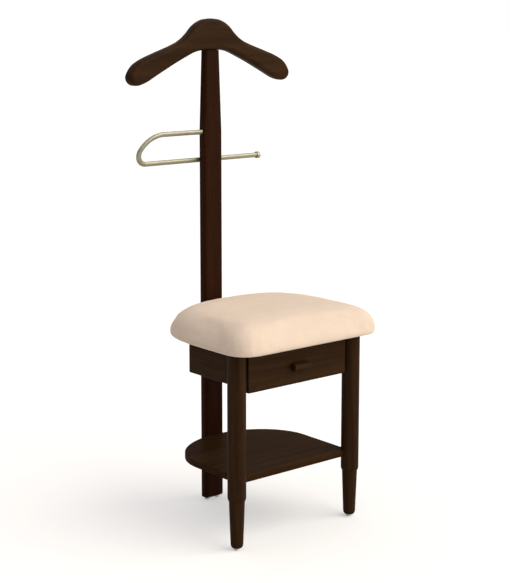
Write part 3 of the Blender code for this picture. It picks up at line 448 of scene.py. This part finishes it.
def turned(profile, steps):
    """Turns a (radius, height) profile that starts and ends on the axis about Z."""
    bm = bmesh.new()
    verts = [bm.verts.new((radius, 0, height)) for radius, height in profile]
    edges = [bm.edges.new(pair) for pair in zip(verts, verts[1:])]
    bmesh.ops.spin(
        bm, geom=verts + edges, cent=(0, 0, 0), axis=(0, 0, 1), angle=2 * math.pi,
        steps=steps, use_merge=True,
    )
    bmesh.ops.remove_doubles(bm, verts=bm.verts, dist=1e-6)
    return bm


def arc(centre, radius, start, end, steps):
    """Points of an arc in the profile's plane, angles in degrees from the outward axis."""
    points = []
    for k in range(steps + 1):
        angle = math.radians(start + (end - start) * k / steps)
        points.append((centre[0] + radius * math.cos(angle), centre[1] + radius * math.sin(angle)))
    return points


def extruded(outline, depth):
    """A closed outline of 3-D points, filled and extruded along depth."""
    bm = bmesh.new()
    face = bm.faces.new([bm.verts.new(point) for point in outline])
    grown = bmesh.ops.extrude_face_region(bm, geom=[face])["geom"]
    bmesh.ops.translate(bm, vec=depth, verts=verts_in(grown))
    bmesh.ops.recalc_face_normals(bm, faces=bm.faces)
    return bm


def round_over(bm, edges, radius, segments):
    """Rounds the edges over to a quarter circle."""
    bmesh.ops.bevel(
        bm, geom=edges, offset=radius, offset_type="OFFSET", segments=segments, profile=0.5,
        affect="EDGES", material=-1, clamp_overlap=True,
    )


def rim_edges(bm, axis, value, tolerance=1e-5):
    """Edges that lie in the plane where a coordinate has this value."""
    return [e for e in bm.edges if all(abs(v.co[axis] - value) < tolerance for v in e.verts)]


def smooth_run(points, steps):
    """Catmull-Rom curve through the points."""
    padded = [points[0], *points, points[-1]]
    run = []
    for p0, p1, p2, p3 in zip(padded, padded[1:], padded[2:], padded[3:]):
        for k in range(steps):
            t = k / steps
            weights = (
                (-t + 2 * t**2 - t**3) / 2, (2 - 5 * t**2 + 3 * t**3) / 2,
                (t + 4 * t**2 - 3 * t**3) / 2, (t**3 - t**2) / 2,
            )
            parts = [w * Vector(p) for w, p in zip(weights, (p0, p1, p2, p3))]
            run.append(sum(parts, Vector((0, 0))))
    return run + [Vector(points[-1])]


def d_outline(half_width, front, back, corner, straight_end, steps):
    """D-shaped outline: straight front and sides, small front corners, an elliptical back."""
    half = arc((half_width - corner, front + corner), corner, -90, 0, 4)
    for k in range(steps):
        angle = math.radians(90 * k / steps)
        x = half_width * math.cos(angle)
        y = straight_end + (back - straight_end) * math.sin(angle)
        half.append((x, y))
    return half + [(0, back)] + [(-x, y) for x, y in reversed(half)]


def settle(piece):
    """Replaces the piece's mesh by what its modifiers give."""
    bpy.context.view_layer.update()
    graph = bpy.context.evaluated_depsgraph_get()
    made = bpy.data.meshes.new_from_object(piece.evaluated_get(graph), depsgraph=graph)
    piece.modifiers.clear()
    old = piece.data
    piece.data = made
    bpy.data.meshes.remove(old)
    return piece


def carve(piece, bm):
    """Cuts the mesh bm out of the piece."""
    bmesh.ops.recalc_face_normals(bm, faces=bm.faces)
    mesh = bpy.data.meshes.new("cutter")
    bm.to_mesh(mesh)
    bm.free()
    tool = bpy.data.objects.new("cutter", mesh)
    bpy.context.scene.collection.objects.link(tool)
    cut = piece.modifiers.new("cut", "BOOLEAN")
    cut.operation = "DIFFERENCE"
    cut.object = tool
    settle(piece)
    bpy.data.objects.remove(tool)
    bpy.data.meshes.remove(mesh)
    return piece


def middle(node):
    """The middle of the solid's box."""
    low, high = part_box(node)
    return (low + high) / 2


def leg_line_y():
    """Y of the line through the front legs' centres."""
    return middle("glide_leg_left").y


# --- Wooden pieces -------------------------------------------------------------------------

def make_leg(side):
    """Turned leg: straight down to a rounded shoulder, then a taper to a round toe."""
    node = f"front_leg_{side}"
    low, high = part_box(node)
    radius = (high.x - low.x) / 2
    swell = radius - LEG_SHOULDER_RADIUS
    rise = LEG_SHOULDER_HIGH - LEG_SHOULDER_LOW
    quarter = arc((0, 0), 1.0, -90, 0, 8)
    toe = [
        (LEG_TOE_RADIUS + (x - 1) * LEG_TOE_ROUND_WIDTH, low.z + (z + 1) * LEG_TOE_ROUND_HEIGHT)
        for x, z in quarter
    ]
    shoulder = [
        (LEG_SHOULDER_RADIUS + swell * math.sin(math.radians(a)),
         LEG_SHOULDER_LOW + rise * (1 - math.cos(math.radians(a))))
        for a in range(0, 91, 9)
    ]
    top = [(radius, high.z), (0, high.z)]
    bm = turned([(0, low.z), *toe, *shoulder, *top], 96)
    centre = middle(node)
    bmesh.ops.translate(bm, vec=(centre.x, centre.y, 0), verts=bm.verts)
    return add_piece(f"turned_leg_{side}", bm, STAIN["Z"], node)


def extend_top(bm, rise):
    """Grows the solid upwards from its highest face by rise, and gives the new corners."""
    top = highest_face(bm)
    grown = bmesh.ops.extrude_face_region(bm, geom=[top])["geom"]
    bmesh.ops.delete(bm, geom=[top], context="FACES_ONLY")
    raised = verts_in(grown)
    bmesh.ops.translate(bm, vec=(0, 0, rise), verts=raised)
    return raised


def post_shaft(low, high):
    """Flat upright with round edges and toe, narrowing to its shoulder below the hanger."""
    centre = (low + high) / 2
    bm = bmesh.new()
    bmesh.ops.create_cube(bm, size=1.0)
    size = Vector((high.x - low.x, high.y - low.y, POST_TAPER_START - low.z))
    bmesh.ops.scale(bm, vec=size, verts=bm.verts)
    bmesh.ops.translate(
        bm, vec=(centre.x, centre.y, (POST_TAPER_START + low.z) / 2), verts=bm.verts
    )
    shoulder = extend_top(bm, high.z - TENON_HEIGHT - POST_TAPER_START)
    bmesh.ops.scale(bm, vec=(POST_TOP_WIDTH / size.x, 1, 1), verts=shoulder)
    round_over(bm, [e for e in bm.edges if not is_level(e)], POST_EDGE, 8)
    round_over(bm, rim_edges(bm, 2, low.z), POST_TOE_ROUND, 4)
    return bm


def add_tenon(bm, low, high):
    """Steps in from the shoulder on all sides and grows upwards, hidden in the hanger. Known
    fault: the root and the step's faces are level, so highest_face takes one of the step's,
    and a thin fin grows there in place of the tenon. Which one it takes can change between
    runs."""
    centre = (low + high) / 2
    root = extend_top(bm, 0)
    narrow = 1 - 2 * TENON_SIDE_SETIN / POST_TOP_WIDTH
    thin = 1 - 2 * TENON_FACE_SETIN / (high.y - low.y)
    space = Matrix.Translation((-centre.x, -centre.y, 0))
    bmesh.ops.scale(bm, vec=(narrow, thin, 1), verts=root, space=space)
    fin = bmesh.ops.extrude_face_region(bm, geom=[highest_face(bm)])["geom"]
    bmesh.ops.translate(bm, vec=(0, 0, TENON_HEIGHT), verts=verts_in(fin))


def make_post():
    """The upright with its joint for the hanger."""
    low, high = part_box("post")
    bm = post_shaft(low, high)
    add_tenon(bm, low, high)
    post = add_piece("upright_post", bm, DARK_STAIN, "post")
    return keep_flats_flat(post)


def make_hanger():
    """Coat yoke sawn from one board, its rims rounded over like a clothes hanger's."""
    low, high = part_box("hanger")
    half = smooth_run([*HANGER_TOP_RUN, *HANGER_LOW_RUN], 6)
    stretch = high.x / max(point.x for point in half)
    whole = [*half, *(Vector((-p.x, p.y)) for p in reversed(half[1:]))]
    outline = [Vector((p.x * stretch, low.y, high.z + p.y)) for p in whole]
    bm = extruded(outline, (0, high.y - low.y, 0))
    rims = rim_edges(bm, 1, low.y) + rim_edges(bm, 1, high.y)
    round_over(bm, rims, HANGER_EDGE, 8)
    hanger = add_piece("shaped_hanger", bm, STAIN["X"], "hanger")
    return keep_flats_flat(hanger)


def leg_cutter(leg, y, height):
    """A short round bar where the leg passes a board at this height, a fit gap thicker."""
    low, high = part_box(leg)
    radius = (high.x - low.x) / 2 + FIT_GAP
    bm = bmesh.new()
    bmesh.ops.create_cone(
        bm, cap_ends=True, segments=96, radius1=radius, radius2=radius,
        depth=LEG_CUTTER_LENGTH,
        matrix=Matrix.Translation(((low.x + high.x) / 2, y, height)),
    )
    return bm


def make_shelf():
    """D-shaped board, notched round the legs, with eased rims."""
    low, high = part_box("shelf")
    line = leg_line_y()
    outline = d_outline(high.x, low.y, high.y, SHELF_CORNER, line + SHELF_STRAIGHT_END, 48)
    bm = extruded([Vector((x, y, low.z)) for x, y in outline], (0, 0, high.z - low.z))
    rims = rim_edges(bm, 2, low.z) + rim_edges(bm, 2, high.z)
    round_over(bm, rims, SHELF_EASE, 4)
    shelf = add_piece("low_shelf", bm, DULL_STAIN, "shelf")
    for side in ("left", "right"):
        carve(shelf, leg_cutter(f"front_leg_{side}", line, (low.z + high.z) / 2))
    shelf.data.set_sharp_from_angle(angle=math.radians(SHARP_DEGREES))
    return keep_flats_flat(shelf)


def make_pull():
    """A short round bar, flattened where it is screwed to the drawer."""
    low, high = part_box("drawer_pull")
    half = (high.x - low.x) / 2
    radius = (high.z - low.z) / 2
    inner = radius - PULL_EDGE
    profile = [
        (0, -half), *arc((inner, -half + PULL_EDGE), PULL_EDGE, -90, 0, 6),
        *arc((inner, half - PULL_EDGE), PULL_EDGE, 0, 90, 6), (0, half),
    ]
    bm = turned(profile, 64)
    bmesh.ops.rotate(bm, matrix=Matrix.Rotation(math.radians(90), 3, "Y"), verts=bm.verts)
    centre = Vector(((low.x + high.x) / 2, low.y + radius, (low.z + high.z) / 2))
    bmesh.ops.translate(bm, vec=centre, verts=bm.verts)
    everything = bm.verts[:] + bm.edges[:] + bm.faces[:]
    bmesh.ops.bisect_plane(
        bm, geom=everything, plane_co=(0, high.y, 0), plane_no=(0, 1, 0), clear_outer=True
    )
    bmesh.ops.holes_fill(bm, edges=open_edges(bm))
    return add_piece("turned_pull", bm, STAIN["X"], "drawer_pull", "drawer")


# --- Metal and plastic pieces --------------------------------------------------------------

def make_trouser_bar():
    """Round rod, bent twice: built upright in one plane, then leaned back to clear the post."""
    post_low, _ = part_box("post")
    post_mid = middle("post").y
    _, cap_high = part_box("bar_end_cap")
    start = Vector((post_low.x + BAR_SOCKET_DEPTH, post_mid, BAR_HIGH))
    drop = BAR_HIGH - BAR_LOW
    turn = math.acos((BAR_BIG_BEND + BAR_SMALL_BEND - drop) / (BAR_BIG_BEND - BAR_SMALL_BEND))
    bm = bmesh.new()
    lying = Matrix.Translation(start) @ Matrix.Rotation(math.radians(90), 4, "Y")
    bmesh.ops.create_circle(bm, cap_ends=False, radius=BAR_RADIUS, segments=32, matrix=lying)
    ring = bm.edges[:]
    ring = extrude_ring(bm, ring, Vector((-BAR_BEND_START - start.x, 0, 0)))
    big = Vector((-BAR_BEND_START, post_mid, BAR_HIGH - BAR_BIG_BEND))
    ring = spin_ring(bm, ring, big, turn, 24)
    inward = Vector((math.sin(turn), 0, -math.cos(turn)))
    small = big + (BAR_SMALL_BEND - BAR_BIG_BEND) * inward
    ring = spin_ring(bm, ring, small, math.pi - turn, 28)
    end = cap_high.x - CAP_WALL - FIT_GAP
    extrude_ring(bm, ring, Vector((end - small.x, 0, 0)))
    bmesh.ops.holes_fill(bm, edges=open_edges(bm))
    lean = (middle("bar_end_cap").y - post_mid) / drop
    shear = Matrix.Identity(4)
    shear[1][2] = -lean
    shear[1][3] = lean * BAR_HIGH
    bmesh.ops.transform(bm, matrix=shear, verts=bm.verts)
    return add_piece("bent_trouser_bar", bm, NICKEL, "trouser_bar")


def extrude_ring(bm, ring, step):
    """Draws the ring straight on by a step, and gives the ring at its new end."""
    grown = bmesh.ops.extrude_edge_only(bm, edges=ring)["geom"]
    bmesh.ops.translate(bm, vec=step, verts=verts_in(grown))
    return edges_in(grown)


def spin_ring(bm, ring, centre, angle, steps):
    """Sweeps the ring round a centre, anticlockwise as seen from the front."""
    verts = list(dict.fromkeys(v for e in ring for v in e.verts))
    swept = bmesh.ops.spin(
        bm, geom=verts + ring, cent=centre, axis=(0, 1, 0), angle=-angle, steps=steps,
        use_merge=False,
    )["geom_last"]
    return edges_in(swept)


def make_bar_cap():
    """Pressed end cap: a little wider than the rod, with a rounded nose."""
    low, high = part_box("bar_end_cap")
    radius = (high.z - low.z) / 2
    length = high.x - low.x
    nose = arc((radius - CAP_EDGE, length - CAP_EDGE), CAP_EDGE, 0, 90, 8)
    mouth = arc((radius - CAP_LIP, CAP_LIP), CAP_LIP, -90, 0, 4)
    bore = BAR_RADIUS + FIT_GAP
    floor = length - CAP_WALL
    profile = [(0, floor), (bore, floor), (bore, 0), *mouth, *nose, (0, length)]
    bm = turned(profile, 48)
    bmesh.ops.rotate(bm, matrix=Matrix.Rotation(math.radians(90), 3, "Y"), verts=bm.verts)
    centre = middle("bar_end_cap")
    bmesh.ops.translate(bm, vec=(low.x, centre.y, centre.z), verts=bm.verts)
    return add_piece("bar_cap", bm, NICKEL, "bar_end_cap")


def make_glide(name):
    """Nail-in glide: a low button with a rounded rim, and its nail."""
    node = f"glide_{name}"
    low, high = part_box(node)
    radius = (high.x - low.x) / 2
    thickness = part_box("post")[0].z - low.z - FIT_GAP
    length = high.z - low.z
    top_edge = GLIDE_EDGE / 2
    profile = [
        (0, 0), *arc((radius - GLIDE_EDGE, GLIDE_EDGE), GLIDE_EDGE, -90, 0, 6),
        *arc((radius - top_edge, thickness - top_edge), top_edge, 0, 90, 4),
        (NAIL_RADIUS, thickness), (NAIL_RADIUS, length - NAIL_POINT), (0, length),
    ]
    bm = turned(profile, 48)
    centre = middle(node)
    bmesh.ops.translate(bm, vec=(centre.x, centre.y, low.z), verts=bm.verts)
    return add_piece(f"nylon_{node}", bm, NYLON, node)


def cross_cutter(head):
    """The tapered cross of a Phillips recess, open at height 0, pointing up +Z."""
    reach = head * CROSS_REACH
    depth = head * DRIVE_DEPTH
    arm = reach * CROSS_ARM
    quarter = [(reach, -arm), (reach, arm), (arm, arm)]
    outline = []
    for turn in range(4):
        spin = Matrix.Rotation(math.radians(90 * turn), 2)
        outline += [(spin @ Vector(point)).to_3d() for point in quarter]
    bm = extruded(outline, (0, 0, depth))
    deep = [v for v in bm.verts if v.co.z > depth / 2]
    bmesh.ops.scale(bm, vec=(CROSS_TAPER, CROSS_TAPER, 1), verts=deep)
    bmesh.ops.translate(bm, vec=(0, 0, -depth * CUTTER_RISE), verts=bm.verts)
    return bm


def hex_cutter(head):
    """The hexagon socket of a bolt, open at height 0, pointing up +Z."""
    reach = head * HEX_REACH
    depth = head * DRIVE_DEPTH
    bm = bmesh.new()
    bmesh.ops.create_cone(
        bm, cap_ends=True, segments=6, radius1=reach, radius2=reach, depth=depth,
        matrix=Matrix.Translation((0, 0, depth * (0.5 - CUTTER_RISE))),
    )
    return bm


def screw_profile(head, shank, length, domed):
    """(radius, height) points from the middle of the head to the tip."""
    if domed:
        quarter = arc((0, 0), 1.0, -90, 0, 8)
        crown = [
            (head + (x - 1) * head * DOME_WIDTH, head * DOME_HEIGHT * (z + 1)) for x, z in quarter
        ]
        under = head * DOME_THICKNESS
        start = [(0, 0), *crown, (head, under), (shank, under)]
    else:
        start = [(0, 0), (head, 0), (shank, head * CONE_DEPTH)]
    tip = [(shank, length - shank * TIP_LENGTH), (shank * TIP_RADIUS, length), (0, length)]
    return start + tip


def make_screw(node, way, shank, domed=False, socket=False, body="frame"):
    """Screw or bolt with its drive recess. way points from the head to the tip."""
    low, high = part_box(node)
    way = Vector(way)
    axis = max(range(3), key=lambda k: abs(way[k]))
    side = (axis + 1) % 3
    head = (high[side] - low[side]) / 2
    place = middle(node)
    place[axis] = low[axis] if way[axis] > 0 else high[axis]
    turn = Vector((0, 0, 1)).rotation_difference(way).to_matrix().to_4x4()
    seat = Matrix.Translation(place) @ turn
    bm = turned(screw_profile(head, shank, high[axis] - low[axis], domed), 40)
    bmesh.ops.transform(bm, matrix=seat, verts=bm.verts)
    piece = add_piece(f"driven_{node}", bm, ZINC, node, body)
    cutter = hex_cutter(head) if socket else cross_cutter(head)
    bmesh.ops.transform(cutter, matrix=seat, verts=cutter.verts)
    carve(piece, cutter)
    piece.data.set_sharp_from_angle(angle=math.radians(DRIVE_SHARP_DEGREES))
    return piece


def make_screws():
    """Domed bolts with hexagon sockets, and domed or countersunk screws with a cross."""
    for word in ("low", "high"):
        make_screw(f"post_bolt_{word}", (0, -1, 0), BOLT_RADIUS, domed=True, socket=True)
        make_screw(f"stretcher_screw_{word}", (0, 1, 0), SCREW_RADIUS)
    make_screw("shelf_screw", (0, -1, 0), SHELF_SCREW_RADIUS, domed=True)
    make_screw("bar_screw", (0, -1, 0), SCREW_RADIUS, domed=True)
    make_screw("hanger_screw", (0, -1, 0), SCREW_RADIUS)
    make_screw("stop_screw", (0, -1, 0), SCREW_RADIUS)
    for side, way in (("left", -1), ("right", 1)):
        make_screw(f"pull_screw_{side}", (0, -1, 0), SCREW_RADIUS, domed=True, body="drawer")
        make_screw(f"seat_screw_front_{side}", (0, 0, 1), SCREW_RADIUS)
        make_screw(f"seat_screw_rear_{side}", (0, 0, 1), SCREW_RADIUS)
        for number in (1, 2):
            make_screw(f"runner_screw_{side}_{number}", (way, 0, 0), SCREW_RADIUS)


# --- Seat ----------------------------------------------------------------------------------

def hull_of(node):
    """The convex shape round a solid, which closes its pocket or its holes."""
    bm = bmesh.new()
    bm.from_mesh(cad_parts[node].data)
    bmesh.ops.remove_doubles(bm, verts=bm.verts, dist=1e-6)
    bmesh.ops.delete(bm, geom=bm.edges[:] + bm.faces[:], context="EDGES_FACES")
    made = bmesh.ops.convex_hull(bm, input=bm.verts[:])
    spare = set(verts_in(made["geom_interior"] + made["geom_unused"]))
    bmesh.ops.delete(bm, geom=list(spare), context="VERTS")
    return bm


def resize(bm, node, grow):
    """Scales the mesh about its solid's middle so that each side moves out by grow."""
    low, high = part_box(node)
    scale = [(side + 2 * step) / side for side, step in zip(high - low, grow)]
    space = Matrix.Translation(-(low + high) / 2)
    bmesh.ops.scale(bm, vec=scale, verts=bm.verts, space=space)
    return bm


def pad_block():
    """The padding before it is blown up: the seat's shape, a little smaller, standing on the
    same underside."""
    bm = hull_of("seat_cushion")
    resize(bm, "seat_cushion", (-PAD_START_INSET, -PAD_START_INSET, -PAD_START_LOW / 2))
    bmesh.ops.translate(bm, vec=(0, 0, -PAD_START_LOW / 2), verts=bm.verts)
    return bm


def relax(piece, low_z, rounds):
    """Evens the surface above the pinned edge."""
    bm = bmesh.new()
    bm.from_mesh(piece.data)
    free = [v for v in bm.verts if v.co.z > low_z + PAD_PINNED_HEIGHT]
    for _ in range(rounds):
        bmesh.ops.smooth_vert(
            bm, verts=free, factor=0.5, use_axis_x=True, use_axis_y=True, use_axis_z=True
        )
    bm.to_mesh(piece.data)
    bm.free()


def blow_up(piece, low_z):
    """Cloth under pressure, held at its lower edge; no point moves further than the cap."""
    held = piece.vertex_groups.new(name="held")
    below = [v.index for v in piece.data.vertices if v.co.z < low_z + PAD_PINNED_HEIGHT]
    held.add(below, 1.0, "REPLACE")
    rest = [v.co.copy() for v in piece.data.vertices]
    cloth = piece.modifiers.new("cloth", "CLOTH")
    cloth.settings.quality = 6
    cloth.settings.mass = 0.3
    cloth.settings.tension_stiffness = 12
    cloth.settings.compression_stiffness = 0.5
    cloth.settings.shear_stiffness = 3
    cloth.settings.bending_stiffness = 20
    cloth.settings.use_pressure = True
    cloth.settings.uniform_pressure_force = PAD_PRESSURE
    cloth.settings.vertex_group_mass = "held"
    cloth.settings.effector_weights.gravity = 0.0
    cloth.collision_settings.use_collision = False
    cloth.point_cache.frame_end = PAD_FRAMES
    for number in range(1, PAD_FRAMES + 1):
        bpy.context.scene.frame_set(number)
    settle(piece)
    for vertex, start in zip(piece.data.vertices, rest):
        step = vertex.co - start
        if step.length > PAD_MOST_MOVE:
            vertex.co = start + step.normalized() * PAD_MOST_MOVE
    bpy.context.scene.frame_set(1)


def fill_box(piece, node):
    """Gives back the few millimetres that smoothing took: stretches the piece to its solid's
    height, and to its sides less a small gap."""
    low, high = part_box(node)
    inset = Vector((PAD_SIDE_GAP, PAD_SIDE_GAP, 0.0))
    size = high - low - 2 * inset
    for axis in range(3):
        places = [vertex.co[axis] for vertex in piece.data.vertices]
        least = min(places)
        stretch = size[axis] / (max(places) - least)
        for vertex in piece.data.vertices:
            vertex.co[axis] = low[axis] + inset[axis] + (vertex.co[axis] - least) * stretch


def make_cushion():
    """Padded seat: an even mesh, blown up as cloth, then cut out below for its board."""
    low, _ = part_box("seat_cushion")
    cushion = add_piece("suede_cushion", pad_block(), SUEDE, "seat_cushion")
    remesh = cushion.modifiers.new("even_mesh", "REMESH")
    remesh.mode = "VOXEL"
    remesh.voxel_size = PAD_VOXEL
    settle(cushion)
    relax(cushion, low.z, PAD_RELAX_BEFORE)
    blow_up(cushion, low.z)
    relax(cushion, low.z, PAD_RELAX_AFTER)
    fill_box(cushion, "seat_cushion")
    finer = cushion.modifiers.new("finer", "SUBSURF")
    finer.levels = finer.render_levels = 1
    settle(cushion)
    carve(cushion, resize(hull_of("seat_board"), "seat_board", (FIT_GAP,) * 3))
    cushion.data.shade_smooth()
    cushion.data.set_sharp_from_angle(angle=math.radians(PAD_SHARP_DEGREES))
    return cushion


# --- Solids that only need a finish --------------------------------------------------------

EASED = ("drawer_front", "side_rail_left", "side_rail_right", "front_top_rail", "back_rail")


def ease_edges(node):
    """Sanded arrises: the solid's loose triangles are joined, then its sharp edges rounded."""
    joined = node.modifiers.new("joined", "WELD")
    joined.merge_threshold = 0.00001
    eased = node.modifiers.new("sanded_arris", "BEVEL")
    eased.width = ARRIS
    eased.segments = 3
    eased.limit_method = "ANGLE"
    eased.angle_limit = math.radians(ARRIS_DEGREES)
    eased.harden_normals = True


def finish_solids():
    """Gives the solids their finish, by the first of these names that theirs starts with."""
    finishes = {
        "back_rail": STAIN["X"], "front_top_rail": STAIN["X"], "drawer_front": STAIN["X"],
        "side_rail": STAIN["Y"], "rear_stretcher": STAIN["Y"], "corner_block": BARE["X"],
        "runner_screw": ZINC, "runner": BARE["Y"], "rail_dowel": BARE["X"],
        "shelf_dowel": BARE["X"], "drawer_stop": BARE["X"], "drawer_side": BARE["Y"],
        "drawer_back": BARE["X"], "drawer_bottom": PLYWOOD, "seat_board": PLYWOOD,
    }
    for name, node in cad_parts.items():
        found = [key for key in finishes if name.startswith(key)]
        material = finishes[found[0]] if found else ZINC
        node.data.materials.clear()
        node.data.materials.append(material)
        if name in EASED:
            ease_edges(node)


# --- Studio --------------------------------------------------------------------------------

def make_floor():
    """Pale matt floor. It glows a little towards the camera only, so that it ends white."""
    bm = bmesh.new()
    bmesh.ops.create_grid(bm, x_segments=1, y_segments=1, size=40.0)
    mesh = bpy.data.meshes.new("floor")
    bm.to_mesh(mesh)
    bm.free()
    material, tree, shader = new_material("pale_floor")
    shader.inputs["Base Color"].default_value = srgb("#D4D4D4")
    shader.inputs["Roughness"].default_value = 0.9
    shader.inputs["Specular IOR Level"].default_value = 0.1
    seen = add(tree, "ShaderNodeLightPath").outputs["Is Camera Ray"]
    lit = add(tree, "ShaderNodeMath", {0: seen, 1: FLOOR_GLOW}, operation="MULTIPLY").outputs[0]
    shader.inputs["Emission Color"].default_value = srgb("#FBFDFF")
    tree.links.new(lit, shader.inputs["Emission Strength"])
    mesh.materials.append(material)
    floor = bpy.data.objects.new("floor", mesh)
    bpy.context.scene.collection.objects.link(floor)


def make_world():
    """A white tent, brighter on the right and overhead; the camera itself sees plain white."""
    world = bpy.data.worlds.new("studio")
    world.use_nodes = True
    tree = world.node_tree
    tree.nodes.clear()
    way = add(tree, "ShaderNodeTexCoord").outputs["Generated"]
    towards = add(tree, "ShaderNodeVectorMath", {0: way, 1: BRIGHT_SIDE},
                  operation="DOT_PRODUCT").outputs["Value"]
    sides = add(tree, "ShaderNodeMapRange", {
        "Value": towards, "From Min": -1.0, "From Max": 1.0,
        "To Min": WALL_DARK_SIDE, "To Max": WALL_BRIGHT_SIDE,
    }).outputs["Result"]
    up = add(tree, "ShaderNodeSeparateXYZ", {"Vector": way}).outputs["Z"]
    overhead = add(tree, "ShaderNodeMapRange", {
        "Value": up, "From Min": 0.05, "From Max": 0.75, "To Min": 0.0, "To Max": 1.0,
    }).outputs["Result"]
    walls = add(tree, "ShaderNodeBackground", {"Color": srgb("#FFF8E6"), "Strength": sides})
    ceiling = add(tree, "ShaderNodeBackground", {
        "Color": srgb("#FFF8F8"), "Strength": CEILING_LIGHT,
    })
    tent = add(tree, "ShaderNodeMixShader", {
        0: overhead, 1: walls.outputs[0], 2: ceiling.outputs[0],
    })
    plain = add(tree, "ShaderNodeBackground", {"Color": srgb("#FFFFFF"), "Strength": 1.0})
    seen = add(tree, "ShaderNodeLightPath").outputs["Is Camera Ray"]
    mixed = add(tree, "ShaderNodeMixShader", {
        0: seen, 1: tent.outputs[0], 2: plain.outputs[0],
    })
    add(tree, "ShaderNodeOutputWorld", {"Surface": mixed.outputs[0]})
    bpy.context.scene.world = world


def aim(obj, at):
    obj.rotation_euler = (at - obj.location).to_track_quat("-Z", "Y").to_euler()


def make_key_light():
    """One broad soft light from the front right."""
    light = bpy.data.lights.new("key", "SUN")
    light.energy = KEY_LIGHT
    light.angle = math.radians(KEY_SPREAD_DEGREES)
    light.color = srgb("#FFF6E4")[:3]
    key = bpy.data.objects.new("key", light)
    bpy.context.scene.collection.objects.link(key)
    key.location = KEY_PLACE
    aim(key, Vector((0, 0, 0)))


def make_camera():
    """Eye level with the hanger, to the left of the front, looking slightly down."""
    camera = bpy.data.cameras.new("camera")
    camera.sensor_width = 36.0
    camera.lens = LENS_MM
    camera.shift_y = LENS_SHIFT
    camera.clip_end = 200.0
    down = math.radians(90 - CAMERA_PITCH_DEGREES)
    holder = bpy.data.objects.new("camera", camera)
    bpy.context.scene.collection.objects.link(holder)
    holder.location = CAMERA_PLACE
    holder.rotation_euler = (down, 0, -math.radians(CAMERA_YAW_DEGREES))
    bpy.context.scene.camera = holder


make_camera()
make_floor()
make_world()
make_key_light()
for leg_side in ("left", "right"):
    make_leg(leg_side)
make_post()
make_hanger()
make_shelf()
make_pull()
make_trouser_bar()
make_bar_cap()
for glide_name in ("leg_left", "leg_right", "post_left", "post_right"):
    make_glide(glide_name)
make_screws()
make_cushion()
finish_solids()
# Plain colours, with no film curve over them
bpy.context.scene.view_settings.view_transform = "Standard"
